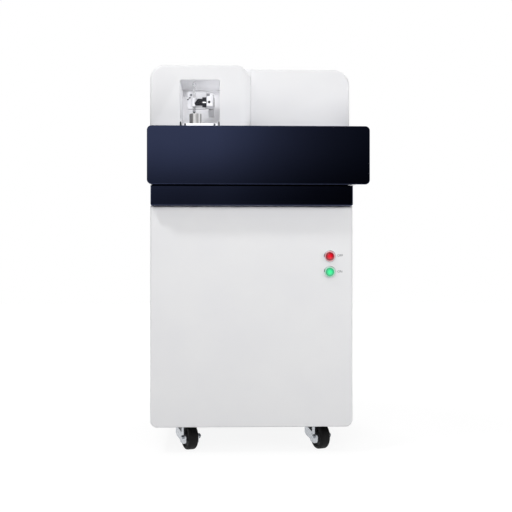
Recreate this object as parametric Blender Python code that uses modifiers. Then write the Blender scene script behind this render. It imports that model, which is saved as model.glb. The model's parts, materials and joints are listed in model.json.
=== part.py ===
"""Optical emission spectrometer: a floor-standing cabinet on four castors, a dark worktop,
and on it a spark stand in a white nose beside a wide white optics cover.

Lengths are metres and +Z is up. X runs across from the cabinet's middle, Y runs back from the
face of the lower front panel, and Z runs up from the floor. Everything hangs on one empty,
which centres the whole machine on the world origin.
"""

import math

import bmesh
import bpy
from mathutils import Matrix, Vector

# Clearances and sheet sizes that all pieces share
SEAT = 0.0003
OVERRUN = 0.005
OUTLINE_LEAD = 0.0002
SHEET = 0.002

# Cabinet
CABINET_WIDTH = 0.580
CABINET_DEPTH = 0.690
CABINET_BOTTOM = 0.0765
CABINET_CORNER = 0.020
FRONT_PANEL_HEIGHT = 0.6332
FRONT_PANEL_DEPTH = 0.022
SIDE_FLANGE = 0.034
PAN_HEIGHT = 0.020
SHELF_DROP = 0.0073
SHELF_RIM = 0.018

# Waist band and worktop
WAIST_INSET = 0.0025
WAIST_HEIGHT = 0.0573
WAIST_REACH = 0.030
WAIST_CORNER = 0.005
DESK_LEFT_OVERHANG = 0.005
DESK_RIGHT_OVERHANG = 0.040
DESK_REACH = 0.070
DESK_HEIGHT = 0.164
DESK_CORNER = 0.013
DESK_WALL = 0.003

# Nose over the spark stand, and the optics cover
NOSE_OVERHANG = 0.004
NOSE_FRONT = 0.050
NOSE_HEIGHT = 0.1911
NOSE_TOP_RADIUS = 0.043
NOSE_SIDE_RADIUS = 0.034
NOSE_EDGE_RADIUS = 0.008
NOSE_SHOULDER_RADIUS = 0.004
COVER_OVERHANG = 0.0025
COVER_FRONT = 0.090
COVER_HEIGHT = 0.1865
COVER_TOP_RADIUS = 0.047
COVER_EDGE_RADIUS = 0.010
COVER_SEAM_RADIUS = 0.0015
HOOD_WALL = 0.003

# Alcove with its window
ALCOVE_INSET = 0.086
ALCOVE_WIDTH = 0.1165
ALCOVE_DEPTH = 0.270
ALCOVE_CEILING = 0.1581
WINDOW_HEIGHT = 0.1475
WINDOW_CORNER = 0.0066

# Spark stand
SPARK_INSET = 0.0445
SPARK_Y = 0.095
CHAMBER_WIDTH = 0.076
CHAMBER_FRONT = 0.058
CHAMBER_BACK = 0.150
CHAMBER_DROP = 0.0759
CHAMBER_BORE = 0.030
CHAMBER_FLOOR = 0.006
FLANGE_THICKNESS = 0.0105
TABLE_THICKNESS = 0.008
TABLE_FRONT = 0.056
TABLE_BACK = 0.180
TABLE_SIDE_GAP = 0.0045
TABLE_CORNER = 0.006
TABLE_HOLE_TOP = 0.014
TABLE_HOLE_BOTTOM = 0.020
STRIP_WIDTH = 0.0035
STRIP_HEIGHT = 0.0243
ELECTRODE_DIAMETER = 0.006
ELECTRODE_TIP = 0.004
ELECTRODE_GAP = 0.0035
INSULATOR_HEIGHT = 0.012
COLUMN_WIDTH = 0.060
COLUMN_FOOT = 0.008
SAMPLE_DIAMETER = 0.036
SAMPLE_HEIGHT = 0.032

# Sample clamp: head, arm, rod, knob, spring, tip and lock lever
PIVOT_OFFSET = 0.0455
PIVOT_Y = 0.133
PIN_DIAMETER = 0.008
PIN_HEAD = 0.0025
PIN_HEAD_DIAMETER = 0.013
KNUCKLE_RADIUS = 0.011
KNUCKLE_RISE = 0.0125
KNUCKLE_HEIGHT = 0.027
EAR_THICKNESS = 0.006
EAR_REACH = 0.015
BEAM_WIDTH = 0.016
BRACKET_PLATE = 0.005
BRACKET_WIDTH = 0.040
BRACKET_HEIGHT = 0.056
HEAD_OFFSET = 0.0331
HEAD_WIDTH = 0.0248
HEAD_FRONT = 0.060
HEAD_BACK = 0.120
HEAD_RISE = 0.0147
HEAD_HEIGHT = 0.043
HEAD_CHAMFER = 0.008
ARM_LENGTH = 0.0553
ARM_FRONT = 0.102
ARM_THICKNESS = 0.016
ARM_RISE = 0.001
ARM_HEIGHT = 0.0514
ARM_CORNER = 0.004
LUG_RADIUS = 0.007
LUG_RISE = 0.007
LUG_HEIGHT = 0.025
ROD_DIAMETER = 0.0064
KNOB_DIAMETER = 0.0118
KNOB_HEIGHT = 0.0176
KNOB_RISE = 0.0375
TIP_HEIGHT = 0.0055
TIP_DIAMETER = 0.0105
TIP_NOSE = 0.0022
SPRING_WIRE = 0.0012
SPRING_DIAMETER = 0.0100
SPRING_TURNS = 4
SPRING_POINTS_PER_TURN = 10
LEVER_Y = 0.074
LEVER_RISE = 0.0172
LEVER_DISC_RADIUS = 0.0148
LEVER_DISC_WIDTH = 0.0095
LEVER_RIBS = 18
LEVER_RIB_DEPTH = 0.0011
LEVER_RIB_SHARE = 0.3
LEVER_BODY_LENGTH = 0.023
LEVER_BODY_DEPTH = 0.014
LEVER_BODY_HEIGHT = 0.0195
LEVER_BORE = 0.0025

# Optics under the cover
LIGHT_DROP = 0.0357
LIGHT_BORE = 0.014
LIGHT_PIPE_DIAMETER = 0.024
LIGHT_FLANGE = 0.004
OPTICS_LEFT_GAP = 0.040
OPTICS_RIGHT_GAP = 0.100
OPTICS_FRONT = 0.180
OPTICS_BACK_GAP = 0.050
OPTICS_FEET = 0.0117
OPTICS_HEIGHT = 0.143
OPTICS_WALL = 0.008
OPTICS_CORNER = 0.030
OPTICS_LID = 0.008
OPTICS_FOOT_DIAMETER = 0.030
OPTICS_FOOT_INSET = 0.040
GRATING_WIDTH = 0.070
GRATING_THICKNESS = 0.022
GRATING_HEIGHT = 0.090
GRATING_SET_BACK = 0.050
BOARD_THICKNESS = 0.0016
DETECTOR_LENGTH = 0.300
DETECTOR_BOARD_HEIGHT = 0.080
DETECTOR_FOOT = 0.012
DETECTOR_FOOT_DEPTH = 0.020
DETECTOR_SET_BACK = 0.030
DETECTOR_SIZE = 0.020
DETECTOR_DEPTH = 0.006
DETECTOR_COUNT = 8
DETECTOR_WIDTH_SHARE = 0.8

# Electrics on the pan
SUPPLY_WIDTH = 0.160
SUPPLY_LENGTH = 0.240
SUPPLY_HEIGHT = 0.095
SUPPLY_SIDE_GAP = 0.060
SUPPLY_Y = 0.400
SUPPLY_SLOTS = 9
SUPPLY_SLOT = 0.004
SUPPLY_SLOT_DEPTH = 0.006
SOURCE_WIDTH = 0.200
SOURCE_LENGTH = 0.280
SOURCE_HEIGHT = 0.180
SOURCE_SIDE_GAP = 0.050
SOURCE_BACK_GAP = 0.150
SOURCE_FINS = 12
SOURCE_FIN_DEPTH = 0.014
CONTROL_WIDTH = 0.220
CONTROL_LENGTH = 0.160
CONTROL_SIDE_GAP = 0.040
CONTROL_Y = 0.160
CONTROL_STANDOFF = 0.008
CONTROL_STANDOFF_DIAMETER = 0.008
CONTROL_STANDOFF_INSET = 0.010
CONTROL_HEATSINK = 0.050
CONTROL_HEATSINK_HEIGHT = 0.018
VALVE_WIDTH = 0.120
VALVE_LENGTH = 0.040
VALVE_HEIGHT = 0.035
VALVE_X = 0.000
VALVE_BACK_GAP = 0.060
VALVE_COIL_DIAMETER = 0.026
VALVE_COIL_HEIGHT = 0.034
VALVE_COILS = 3

# Rear panel fittings
FAN_SIZE = 0.092
FAN_DEPTH = 0.025
FAN_BORE = 0.088
FAN_CORNER = 0.008
FAN_SIDE_GAP = 0.140
FAN_Z = 0.330
FAN_HUB = 0.036
FAN_HUB_DEPTH = 0.021
FAN_BLADES = 7
FAN_BLADE_PITCH = math.radians(38)
FAN_BLADE_THICKNESS = 0.0014
FAN_BLADE_CHORD = 0.022
FAN_TIP_GAP = 0.002
FAN_SHAFT = 0.006
FAN_STRUT = 0.004
FAN_STRUTS = 4
FAN_BACK_GAP = 0.0015
GRILLE_SLOT = 0.006
GRILLE_PITCH = 0.011
VENT_WIDTH = 0.200
VENT_ROWS = 8
VENT_DROP = 0.1497
INLET_SIDE_GAP = 0.075
INLET_Z = 0.160
INLET_WIDTH = 0.050
INLET_HEIGHT = 0.074
INLET_FLANGE = 0.003
INLET_BODY_MARGIN = 0.007
INLET_DEPTH = 0.030
INLET_CORNER = 0.003
SOCKET_WIDTH = 0.0245
SOCKET_HEIGHT = 0.0170
SOCKET_DEPTH = 0.0165
SOCKET_DROP = 0.0175
SOCKET_CORNER = 0.0045
PIN_PITCH = 0.007
PIN_THICKNESS = 0.002
PIN_WIDTH = 0.004
PIN_LENGTH = 0.0145
PIN_RISE = 0.0015
PIN_EARTH_RISE = 0.003
SWITCH_RISE = 0.0150
SWITCH_WIDTH = 0.0190
SWITCH_HEIGHT = 0.0260
SWITCH_WELL = 0.0120
SWITCH_SIDE_GAP = 0.0006
SWITCH_TILT = math.radians(10)
SWITCH_PROUD = 0.0045
SWITCH_BACK = 0.0050
ARGON_SIDE_GAP = 0.075
ARGON_Z = 0.160
ARGON_REACH = 0.020
ARGON_HEX = 0.017
ARGON_HEX_LENGTH = 0.008
ARGON_STEM = 0.012
ARGON_TUBE = 0.008
ARGON_TUBE_BORE = 0.004
ARGON_NUT = 0.005
DATA_X = -0.080
DATA_WIDTH = 0.020
DATA_HEIGHT = 0.018
DATA_RECESS = 0.0035
DATA_FLANGE = 0.0012
DATA_DEPTH = 0.018
DATA_RIM = 0.0020

# Push buttons on the front panel
BUTTON_SIDE_GAP = 0.066
BUTTON_DROP = 0.1421
BUTTON_PITCH = 0.0459
BUTTON_BEZEL = 0.030
BUTTON_BEZEL_REACH = 0.008
BUTTON_BEZEL_EDGE = 0.0020
BUTTON_BARREL = 0.022
BUTTON_BARREL_DEPTH = 0.032
BUTTON_WALL = 0.003
BUTTON_CAP = 0.023
BUTTON_CAP_REACH = 0.0125
BUTTON_CAP_THICKNESS = 0.0055
BUTTON_CROWN_SHARE = 0.55
BUTTON_STEM = 0.014
BUTTON_STEM_LENGTH = 0.018
BUTTON_HOLE_GAP = 0.00025

# Castors
CASTOR_SIDE_GAP = 0.098
CASTOR_FRONT_Y = 0.106
CASTOR_BACK_GAP = 0.104
CASTOR_HEIGHT = 0.105
CASTOR_TRAIL = 0.030
CASTOR_TURN = math.radians(24)
CASTOR_PLATE_WIDTH = 0.075
CASTOR_PLATE_LENGTH = 0.095
CASTOR_PLATE = 0.003
CASTOR_PLATE_CORNER = 0.008
RACE_DIAMETER = 0.050
RACE_HEIGHT = 0.0085
KINGPIN_DIAMETER = 0.010
KINGPIN_HEAD = 0.017
KINGPIN_HEAD_HEIGHT = 0.0035
CROWN_DIAMETER = 0.056
CROWN_HEIGHT = 0.0055
WHEEL_DIAMETER = 0.075
WHEEL_WIDTH = 0.032
WHEEL_TYRE = 0.010
WHEEL_DISH = 0.006
WHEEL_HUB = 0.024
WHEEL_ROUND = 0.004
WHEEL_STEPS = 24
AXLE_DIAMETER = 0.008
AXLE_NUT = 0.013
AXLE_NUT_LENGTH = 0.007
AXLE_END = 0.002
FORK_LEG = 0.003
FORK_GAP = 0.0022
FORK_FOOT_RADIUS = 0.012
FORK_TOP_HALF_DEPTH = 0.0205
RUNNING_GAP = 0.0004

# Places that follow from the sizes above
HALF_WIDTH = CABINET_WIDTH / 2
WAIST_WIDTH = CABINET_WIDTH - 2 * WAIST_INSET
DESK_LEFT = HALF_WIDTH + DESK_LEFT_OVERHANG
DESK_RIGHT = HALF_WIDTH + DESK_RIGHT_OVERHANG
NOSE_LEFT = HALF_WIDTH + NOSE_OVERHANG
COVER_RIGHT = HALF_WIDTH + COVER_OVERHANG
ALCOVE_LEFT = ALCOVE_INSET - NOSE_LEFT
ALCOVE_RIGHT = ALCOVE_LEFT + ALCOVE_WIDTH
SPARK_X = ALCOVE_LEFT + SPARK_INSET
PIVOT_X = SPARK_X + PIVOT_OFFSET
HEAD_LEFT = SPARK_X + HEAD_OFFSET
HEAD_RIGHT = HEAD_LEFT + HEAD_WIDTH
OPTICS_LEFT = OPTICS_LEFT_GAP - HALF_WIDTH
OPTICS_RIGHT = HALF_WIDTH - OPTICS_RIGHT_GAP
OPTICS_BACK = CABINET_DEPTH - OPTICS_BACK_GAP
SUPPLY_X = SUPPLY_SIDE_GAP + SUPPLY_WIDTH / 2 - HALF_WIDTH
SOURCE_X = HALF_WIDTH - SOURCE_SIDE_GAP - SOURCE_WIDTH / 2
SOURCE_Y = CABINET_DEPTH - SOURCE_BACK_GAP - SOURCE_LENGTH / 2
CONTROL_X = CONTROL_SIDE_GAP + CONTROL_WIDTH / 2 - HALF_WIDTH
VALVE_Y = CABINET_DEPTH - VALVE_BACK_GAP - VALVE_LENGTH / 2
FAN_X = HALF_WIDTH - FAN_SIDE_GAP
INLET_X = HALF_WIDTH - INLET_SIDE_GAP
ARGON_X = ARGON_SIDE_GAP - HALF_WIDTH
BUTTON_X = HALF_WIDTH - BUTTON_SIDE_GAP
CASTOR_X = HALF_WIDTH - CASTOR_SIDE_GAP
CASTOR_REAR_Y = CABINET_DEPTH - CASTOR_BACK_GAP
PANEL_TOP = CABINET_BOTTOM + FRONT_PANEL_HEIGHT
RED_BUTTON_Z = PANEL_TOP - BUTTON_DROP
GREEN_BUTTON_Z = RED_BUTTON_Z - BUTTON_PITCH
VENT_Z = PANEL_TOP - VENT_DROP
WAIST_BOTTOM = PANEL_TOP + SEAT
WAIST_TOP = WAIST_BOTTOM + WAIST_HEIGHT
DESK_BOTTOM = WAIST_TOP + SEAT
DESK_TOP = DESK_BOTTOM + DESK_HEIGHT
DECK_BOTTOM = DESK_TOP - SHEET
HOOD_BOTTOM = DESK_TOP + SEAT
NOSE_TOP = HOOD_BOTTOM + NOSE_HEIGHT
COVER_TOP = HOOD_BOTTOM + COVER_HEIGHT
INSIDE = HALF_WIDTH - SHEET
SIDES_FRONT = FRONT_PANEL_DEPTH + SEAT
REAR_INNER = CABINET_DEPTH - SHEET
SIDES_BACK = REAR_INNER - SEAT
PAN_BOTTOM = CASTOR_HEIGHT + SEAT
PAN_FLOOR = PAN_BOTTOM + SHEET + SEAT
SHELF_TOP = WAIST_TOP - SHELF_DROP
SHELF_SEAT = SHELF_TOP + SEAT
LINER_FLOOR = HOOD_BOTTOM + SHEET
LINER_FRONT = NOSE_FRONT + HOOD_WALL + SEAT
LINER_BACK = LINER_FRONT + ALCOVE_DEPTH
LINER_CEILING = HOOD_BOTTOM + ALCOVE_CEILING
FLANGE_BOTTOM = LINER_FLOOR + SEAT
FLANGE_TOP = FLANGE_BOTTOM + FLANGE_THICKNESS
TABLE_BOTTOM = FLANGE_TOP + SEAT
TABLE_TOP = TABLE_BOTTOM + TABLE_THICKNESS
SAMPLE_BOTTOM = TABLE_TOP + SEAT
SAMPLE_TOP = SAMPLE_BOTTOM + SAMPLE_HEIGHT
TIP_BOTTOM = SAMPLE_TOP + SEAT
TIP_TOP = TIP_BOTTOM + TIP_HEIGHT
CHAMBER_BOTTOM = FLANGE_TOP - CHAMBER_DROP - SEAT
BORE_BOTTOM = CHAMBER_BOTTOM + CHAMBER_FLOOR
LIGHT_Z = DESK_TOP - LIGHT_DROP
OPTICS_BOTTOM = SHELF_SEAT + OPTICS_FEET
OPTICS_TOP = OPTICS_BOTTOM + OPTICS_HEIGHT
HEAD_BOTTOM = SAMPLE_TOP + HEAD_RISE
HEAD_TOP = HEAD_BOTTOM + HEAD_HEIGHT
ARM_BOTTOM = HEAD_BOTTOM + ARM_RISE
LUG_BOTTOM = ARM_BOTTOM + LUG_RISE
KNUCKLE_BOTTOM = HEAD_BOTTOM + KNUCKLE_RISE
KNOB_TOP = HEAD_TOP + KNOB_RISE
LEVER_Z = HEAD_BOTTOM + LEVER_RISE
ARM_RIGHT = HEAD_LEFT - SEAT
ARM_LEFT = ARM_RIGHT - ARM_LENGTH
LUG_TOP = LUG_BOTTOM + LUG_HEIGHT
KNUCKLE_TOP = KNUCKLE_BOTTOM + KNUCKLE_HEIGHT
KNUCKLE_MIDDLE = (KNUCKLE_BOTTOM + KNUCKLE_TOP) / 2
CENTRE_X = (DESK_RIGHT - DESK_LEFT) / 2
CENTRE_Y = (CABINET_DEPTH + ARGON_REACH - DESK_REACH) / 2

# How each turned or flat shape is turned from its own plane into place
FACE_FRONT = Matrix.Rotation(math.pi / 2, 4, "X")
FACE_BACK = Matrix.Rotation(-math.pi / 2, 4, "X")
FACE_RIGHT = Matrix.Rotation(math.pi / 2, 4, "Y")
SIDE_VIEW = Matrix(((0, 0, 1, 0), (1, 0, 0, 0), (0, 1, 0, 0), (0, 0, 0, 1)))

# Colour, roughness and metallic value of each finish
FINISHES = {
    "white_powder_coat": ((0.80, 0.80, 0.81), 0.45, 0.0),
    "navy_gloss_paint": ((0.012, 0.016, 0.045), 0.15, 0.0),
    "galvanised_sheet": ((0.55, 0.56, 0.57), 0.40, 1.0),
    "zinc_plated_steel": ((0.62, 0.63, 0.64), 0.28, 1.0),
    "machined_steel": ((0.58, 0.58, 0.57), 0.22, 1.0),
    "cast_aluminium": ((0.50, 0.50, 0.50), 0.50, 1.0),
    "brass": ((0.60, 0.44, 0.16), 0.30, 1.0),
    "tungsten": ((0.30, 0.30, 0.31), 0.40, 1.0),
    "alumina_ceramic": ((0.85, 0.84, 0.80), 0.50, 0.0),
    "black_plastic": ((0.018, 0.018, 0.020), 0.45, 0.0),
    "black_rubber": ((0.012, 0.012, 0.012), 0.70, 0.0),
    "chrome": ((0.75, 0.76, 0.77), 0.08, 1.0),
    "red_plastic": ((0.75, 0.01, 0.03), 0.25, 0.0),
    "green_plastic": ((0.05, 0.75, 0.30), 0.25, 0.0),
    "circuit_board": ((0.02, 0.16, 0.05), 0.50, 0.0),
    "spring_steel": ((0.35, 0.35, 0.36), 0.30, 1.0),
}


def clear_scene():
    """Empty the file of objects, and of the collections that an earlier run made."""
    for item in list(bpy.data.objects):
        bpy.data.objects.remove(item, do_unlink=True)
    for group in list(bpy.data.collections):
        bpy.data.collections.remove(group)


clear_scene()
PARTS = bpy.data.collections.new("optical_emission_spectrometer")
CUTTERS = bpy.data.collections.new("cutters")
bpy.context.scene.collection.children.link(PARTS)
bpy.context.scene.collection.children.link(CUTTERS)
ROOT = bpy.data.objects.new("machine_origin", None)
ROOT.location = (-CENTRE_X, -CENTRE_Y, 0)
PARTS.objects.link(ROOT)


def finish(kind):
    """The material of one finish, made once."""
    material = bpy.data.materials.get(kind)
    if material is None:
        material = bpy.data.materials.new(kind)
        material.use_nodes = True
        colour, roughness, metallic = FINISHES[kind]
        shader = material.node_tree.nodes["Principled BSDF"]
        shader.inputs["Base Color"].default_value = (*colour, 1)
        shader.inputs["Roughness"].default_value = roughness
        shader.inputs["Metallic"].default_value = metallic
        material.diffuse_color = (*colour, 1)
    return material


def place_object(name, data, matrix, group=CUTTERS):
    """Link one object under the machine's empty. What is not a part stays hidden."""
    item = bpy.data.objects.new(name, data)
    item.parent = ROOT
    item.matrix_basis = matrix
    group.objects.link(item)
    if group is CUTTERS:
        item.hide_render = True
        item.display_type = "WIRE"
    return item


def as_part(item, name, kind, smooth=False):
    """Take a finished shape out of the cutters, as the part with this name and finish."""
    item.name = name
    CUTTERS.objects.unlink(item)
    PARTS.objects.link(item)
    item.hide_render = False
    item.display_type = "TEXTURED"
    item.data.materials.clear()
    item.data.materials.append(finish(kind))
    if smooth:
        smooth_round(item)
    return item


def smooth_round(item, limit=math.radians(35)):
    """Smooth shading that keeps the edges sharper than the limit."""
    item.data.shade_smooth()
    item.data.set_sharp_from_angle(angle=limit)


def evaluated_mesh(item):
    """The mesh of an object with its modifiers, in its own space."""
    bpy.context.view_layer.update()
    graph = bpy.context.evaluated_depsgraph_get()
    return bpy.data.meshes.new_from_object(item.evaluated_get(graph))


def frozen(item):
    """Bake an object's modifiers into its mesh, so that copies can share it."""
    mesh = evaluated_mesh(item)
    item.modifiers.clear()
    item.data = mesh
    return item


def with_origin(item, point):
    """Move an object's origin to a point on its joint's axis, and leave its shape in place."""
    shape = frozen(item)
    shape.data.transform(Matrix.Translation(-Vector(point)) @ shape.matrix_basis)
    shape.matrix_basis = Matrix.Translation(point)
    return shape


def copy_of(item, name, matrix, kind):
    """Another part with the same mesh."""
    twin = place_object(name, item.data, matrix, PARTS)
    if not item.data.materials:
        item.data.materials.append(finish(kind))
    return twin


def boolean(item, tool, operation):
    """Cut, join or intersect with a hidden shape, by a live modifier."""
    modifier = item.modifiers.new(operation.lower(), "BOOLEAN")
    modifier.operation = operation
    modifier.solver = "EXACT"
    modifier.object = tool
    return item


def cut(item, *tools):
    for tool in tools:
        boolean(item, tool, "DIFFERENCE")
    return item


def join(item, *tools):
    for tool in tools:
        boolean(item, tool, "UNION")
    return item


def keep_common(item, *tools):
    for tool in tools:
        boolean(item, tool, "INTERSECT")
    return item


def blocks(name, corners, turn=Matrix()):
    """Boxes, each from its low corner to its high corner, in one object."""
    shape = bmesh.new()
    for low, high in corners:
        middle = (Vector(low) + Vector(high)) / 2
        size = Vector(high) - Vector(low)
        matrix = Matrix.Translation(middle) @ Matrix.Diagonal((*size, 1))
        bmesh.ops.create_cube(shape, size=1, matrix=matrix)
    mesh = bpy.data.meshes.new(name)
    shape.to_mesh(mesh)
    shape.free()
    return place_object(name, mesh, turn)


def block(name, low, high, turn=Matrix()):
    return blocks(name, [(low, high)], turn)


def cylinder(name, diameter, start, end, centre, facing=Matrix(), sides=24, end_diameter=None):
    """A cylinder or cone about local Z, from start to end, turned about the centre."""
    if end_diameter is None:
        end_diameter = diameter
    shape = bmesh.new()
    bmesh.ops.create_cone(
        shape,
        cap_ends=True,
        segments=sides,
        radius1=diameter / 2,
        radius2=end_diameter / 2,
        depth=end - start,
        matrix=Matrix.Translation((0, 0, (start + end) / 2)),
    )
    mesh = bpy.data.meshes.new(name)
    shape.to_mesh(mesh)
    shape.free()
    return place_object(name, mesh, Matrix.Translation(centre) @ facing)


def turned(name, profile, centre, facing=Matrix(), steps=32, closed=False):
    """A profile of (radius, height) points, from top to bottom, turned about local Z."""
    points = [(radius, 0, height) for radius, height in profile]
    edges = [(i, i + 1) for i in range(len(points) - 1)]
    if closed:
        edges.append((len(points) - 1, 0))
    mesh = bpy.data.meshes.new(name)
    mesh.from_pydata(points, edges, [])
    item = place_object(name, mesh, Matrix.Translation(centre) @ facing)
    screw = item.modifiers.new("turn", "SCREW")
    screw.steps = steps
    screw.render_steps = steps
    screw.use_merge_vertices = True
    screw.merge_threshold = 0.00001
    screw.use_smooth_shade = False
    return item


def arc(centre_u, centre_v, radius, start, end, steps):
    """Points of an arc, angles in quarter turns."""
    quarter = math.pi / 2
    angles = [quarter * (start + (end - start) * i / steps) for i in range(steps + 1)]
    return [(centre_u + radius * math.cos(a), centre_v + radius * math.sin(a)) for a in angles]


def rounded_outline(low_u, high_u, low_v, high_v, radii, steps=6):
    """A rectangle with corner radii: low-low, high-low, high-high and low-high."""
    corners = (
        (low_u, low_v, 1, 1, 2),
        (high_u, low_v, -1, 1, 3),
        (high_u, high_v, -1, -1, 0),
        (low_u, high_v, 1, -1, 1),
    )
    points = []
    for (u, v, side_u, side_v, start), radius in zip(corners, radii, strict=True):
        if radius > 0:
            points += arc(u + side_u * radius, v + side_v * radius, radius, start, start + 1, steps)
        else:
            points.append((u, v))
    return points


def prism(name, outline, start, end, view="front"):
    """A flat outline made solid between two planes.

    The front view has (x, z) points and runs in Y, the plan view has (x, y) points and runs
    in Z, and the side view has (y, z) points and runs in X.
    """
    curve = bpy.data.curves.new(name, "CURVE")
    curve.dimensions = "2D"
    curve.fill_mode = "BOTH"
    curve.extrude = (end - start) / 2
    line = curve.splines.new("POLY")
    line.points.add(len(outline) - 1)
    for point, (u, v) in zip(line.points, outline, strict=True):
        point.co = (u, v, 0, 1)
    line.use_cyclic_u = True
    middle = (start + end) / 2
    matrices = {
        "front": Matrix.Translation((0, middle, 0)) @ FACE_FRONT,
        "plan": Matrix.Translation((0, 0, middle)),
        "side": Matrix.Translation((middle, 0, 0)) @ SIDE_VIEW,
    }
    drawn = place_object(name + "_outline", curve, matrices[view])
    mesh = evaluated_mesh(drawn)
    shape = bmesh.new()
    shape.from_mesh(mesh)
    bmesh.ops.remove_doubles(shape, verts=shape.verts, dist=0.000001)
    shape.to_mesh(mesh)
    shape.free()
    item = place_object(name, mesh, drawn.matrix_basis.copy())
    bpy.data.objects.remove(drawn, do_unlink=True)
    return item


def front_tray(name, left, right, bottom, top, front, back, radii, wall):
    """A pressed tray with its floor at the front and its mouth at the back."""
    tray = prism(name, rounded_outline(left, right, bottom, top, radii), front, back)
    inner_radii = [max(radius - wall, 0) for radius in radii]
    outline = rounded_outline(left + wall, right - wall, bottom + wall, top - wall, inner_radii)
    return cut(tray, prism(name + "_pocket", outline, front + wall, back + OVERRUN))


def make_front_panel():
    radii = (CABINET_CORNER, CABINET_CORNER, 0, 0)
    panel = front_tray(
        "front_panel_shape", -HALF_WIDTH, HALF_WIDTH, CABINET_BOTTOM, PANEL_TOP,
        0, FRONT_PANEL_DEPTH, radii, SHEET,
    )
    for number, height in enumerate((RED_BUTTON_Z, GREEN_BUTTON_Z)):
        diameter = BUTTON_BARREL + 2 * BUTTON_HOLE_GAP
        hole = cylinder(
            f"button_hole_{number}", diameter, -OVERRUN, SHEET + OVERRUN,
            (BUTTON_X, 0, height), FACE_BACK,
        )
        cut(panel, hole)
    as_part(panel, "front_panel", "white_powder_coat")


def make_side_panel(name, side, upper_front):
    """A side sheet with a foot that curls under the cabinet, notched behind the worktop."""
    outer = side * HALF_WIDTH
    inner = side * INSIDE
    notch_top = DESK_BOTTOM - SEAT
    sheet_bottom = CABINET_BOTTOM + CABINET_CORNER
    outline = [
        (SIDES_FRONT, sheet_bottom),
        (SIDES_BACK, sheet_bottom),
        (SIDES_BACK, DECK_BOTTOM - SEAT),
        (upper_front, DECK_BOTTOM - SEAT),
        (upper_front, notch_top),
        (SIDES_FRONT, notch_top),
    ]
    panel = prism(name + "_shape", outline, min(outer, inner), max(outer, inner), "side")
    bend = outer - side * CABINET_CORNER
    bend_z = CABINET_BOTTOM + CABINET_CORNER
    inner_bend = CABINET_CORNER - SHEET
    foot_end = bend - side * SIDE_FLANGE
    curve_out = arc(bend, bend_z, CABINET_CORNER, 0 if side > 0 else 2, -1 if side > 0 else 3, 6)
    curve_in = arc(bend, bend_z, inner_bend, 0 if side > 0 else 2, -1 if side > 0 else 3, 6)
    lip = SHEET
    foot = [(outer, bend_z + lip), *curve_out, (foot_end, CABINET_BOTTOM)]
    foot += [(foot_end, CABINET_BOTTOM + SHEET), *reversed(curve_in), (inner, bend_z + lip)]
    join(panel, prism(name + "_foot", foot, SIDES_FRONT, SIDES_BACK))
    as_part(panel, name, "white_powder_coat")


def make_base_pan():
    """The floor tray, with rims turned up all round."""
    side = INSIDE - SEAT
    front = SIDES_FRONT
    back = SIDES_BACK
    top = PAN_BOTTOM + PAN_HEIGHT
    pan = block("base_pan_shape", (-side, front, PAN_BOTTOM), (side, back, top))
    hollow = block(
        "base_pan_hollow",
        (-side + SHEET, front + SHEET, PAN_BOTTOM + SHEET),
        (side - SHEET, back - SHEET, top + OVERRUN),
    )
    as_part(cut(pan, hollow), "base_pan", "galvanised_sheet")


def make_mid_shelf():
    """The shelf under the optics, with rims turned down."""
    side = INSIDE - SEAT
    bottom = SHELF_TOP - SHELF_RIM
    shelf = block("mid_shelf_shape", (-side, SIDES_FRONT + SEAT, bottom), (side, SIDES_BACK, SHELF_TOP))
    hollow = block(
        "mid_shelf_hollow",
        (-side + SHEET, SIDES_FRONT + SEAT + SHEET, bottom - OVERRUN),
        (side - SHEET, SIDES_BACK - SHEET, SHELF_TOP - SHEET),
    )
    as_part(cut(shelf, hollow), "mid_shelf", "galvanised_sheet")


def chamber_hole(name, bottom, top):
    """The cut that lets the spark chamber hang through a sheet."""
    half = CHAMBER_WIDTH / 2 + SEAT
    return block(
        name,
        (SPARK_X - half, CHAMBER_FRONT - SEAT, bottom - OVERRUN),
        (SPARK_X + half, CHAMBER_BACK + SEAT, top + OVERRUN),
    )


def make_top_deck():
    """The deck sheet behind the worktop, which carries both hoods and the alcove."""
    outline = [
        (-HALF_WIDTH, NOSE_FRONT),
        (0, NOSE_FRONT),
        (0, COVER_FRONT),
        (HALF_WIDTH, COVER_FRONT),
        (HALF_WIDTH, CABINET_DEPTH),
        (-HALF_WIDTH, CABINET_DEPTH),
    ]
    deck = prism("top_deck_shape", outline, DECK_BOTTOM, DESK_TOP, "plan")
    cut(deck, chamber_hole("deck_chamber_hole", DECK_BOTTOM, DESK_TOP))
    as_part(deck, "top_deck", "galvanised_sheet")


def grille_slots(centre_x, centre_z, diameter):
    """Corners of the slots that fill a circle over a fan."""
    rows = int(diameter / 2 / GRILLE_PITCH)
    corners = []
    for row in range(-rows, rows + 1):
        z = row * GRILLE_PITCH
        reach = math.sqrt(max((diameter / 2) ** 2 - (abs(z) + GRILLE_SLOT / 2) ** 2, 0))
        if reach > GRILLE_SLOT:
            low = (centre_x - reach, REAR_INNER - OVERRUN, centre_z + z - GRILLE_SLOT / 2)
            high = (centre_x + reach, CABINET_DEPTH + OVERRUN, centre_z + z + GRILLE_SLOT / 2)
            corners.append((low, high))
    return corners


def vent_slots():
    """Corners of the two columns of air slots above the fans."""
    corners = []
    for side in (-1, 1):
        for row in range(VENT_ROWS):
            z = VENT_Z + row * GRILLE_PITCH
            middle = side * FAN_X
            low = (middle - VENT_WIDTH / 2, REAR_INNER - OVERRUN, z)
            high = (middle + VENT_WIDTH / 2, CABINET_DEPTH + OVERRUN, z + GRILLE_SLOT)
            corners.append((low, high))
    return corners


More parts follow.
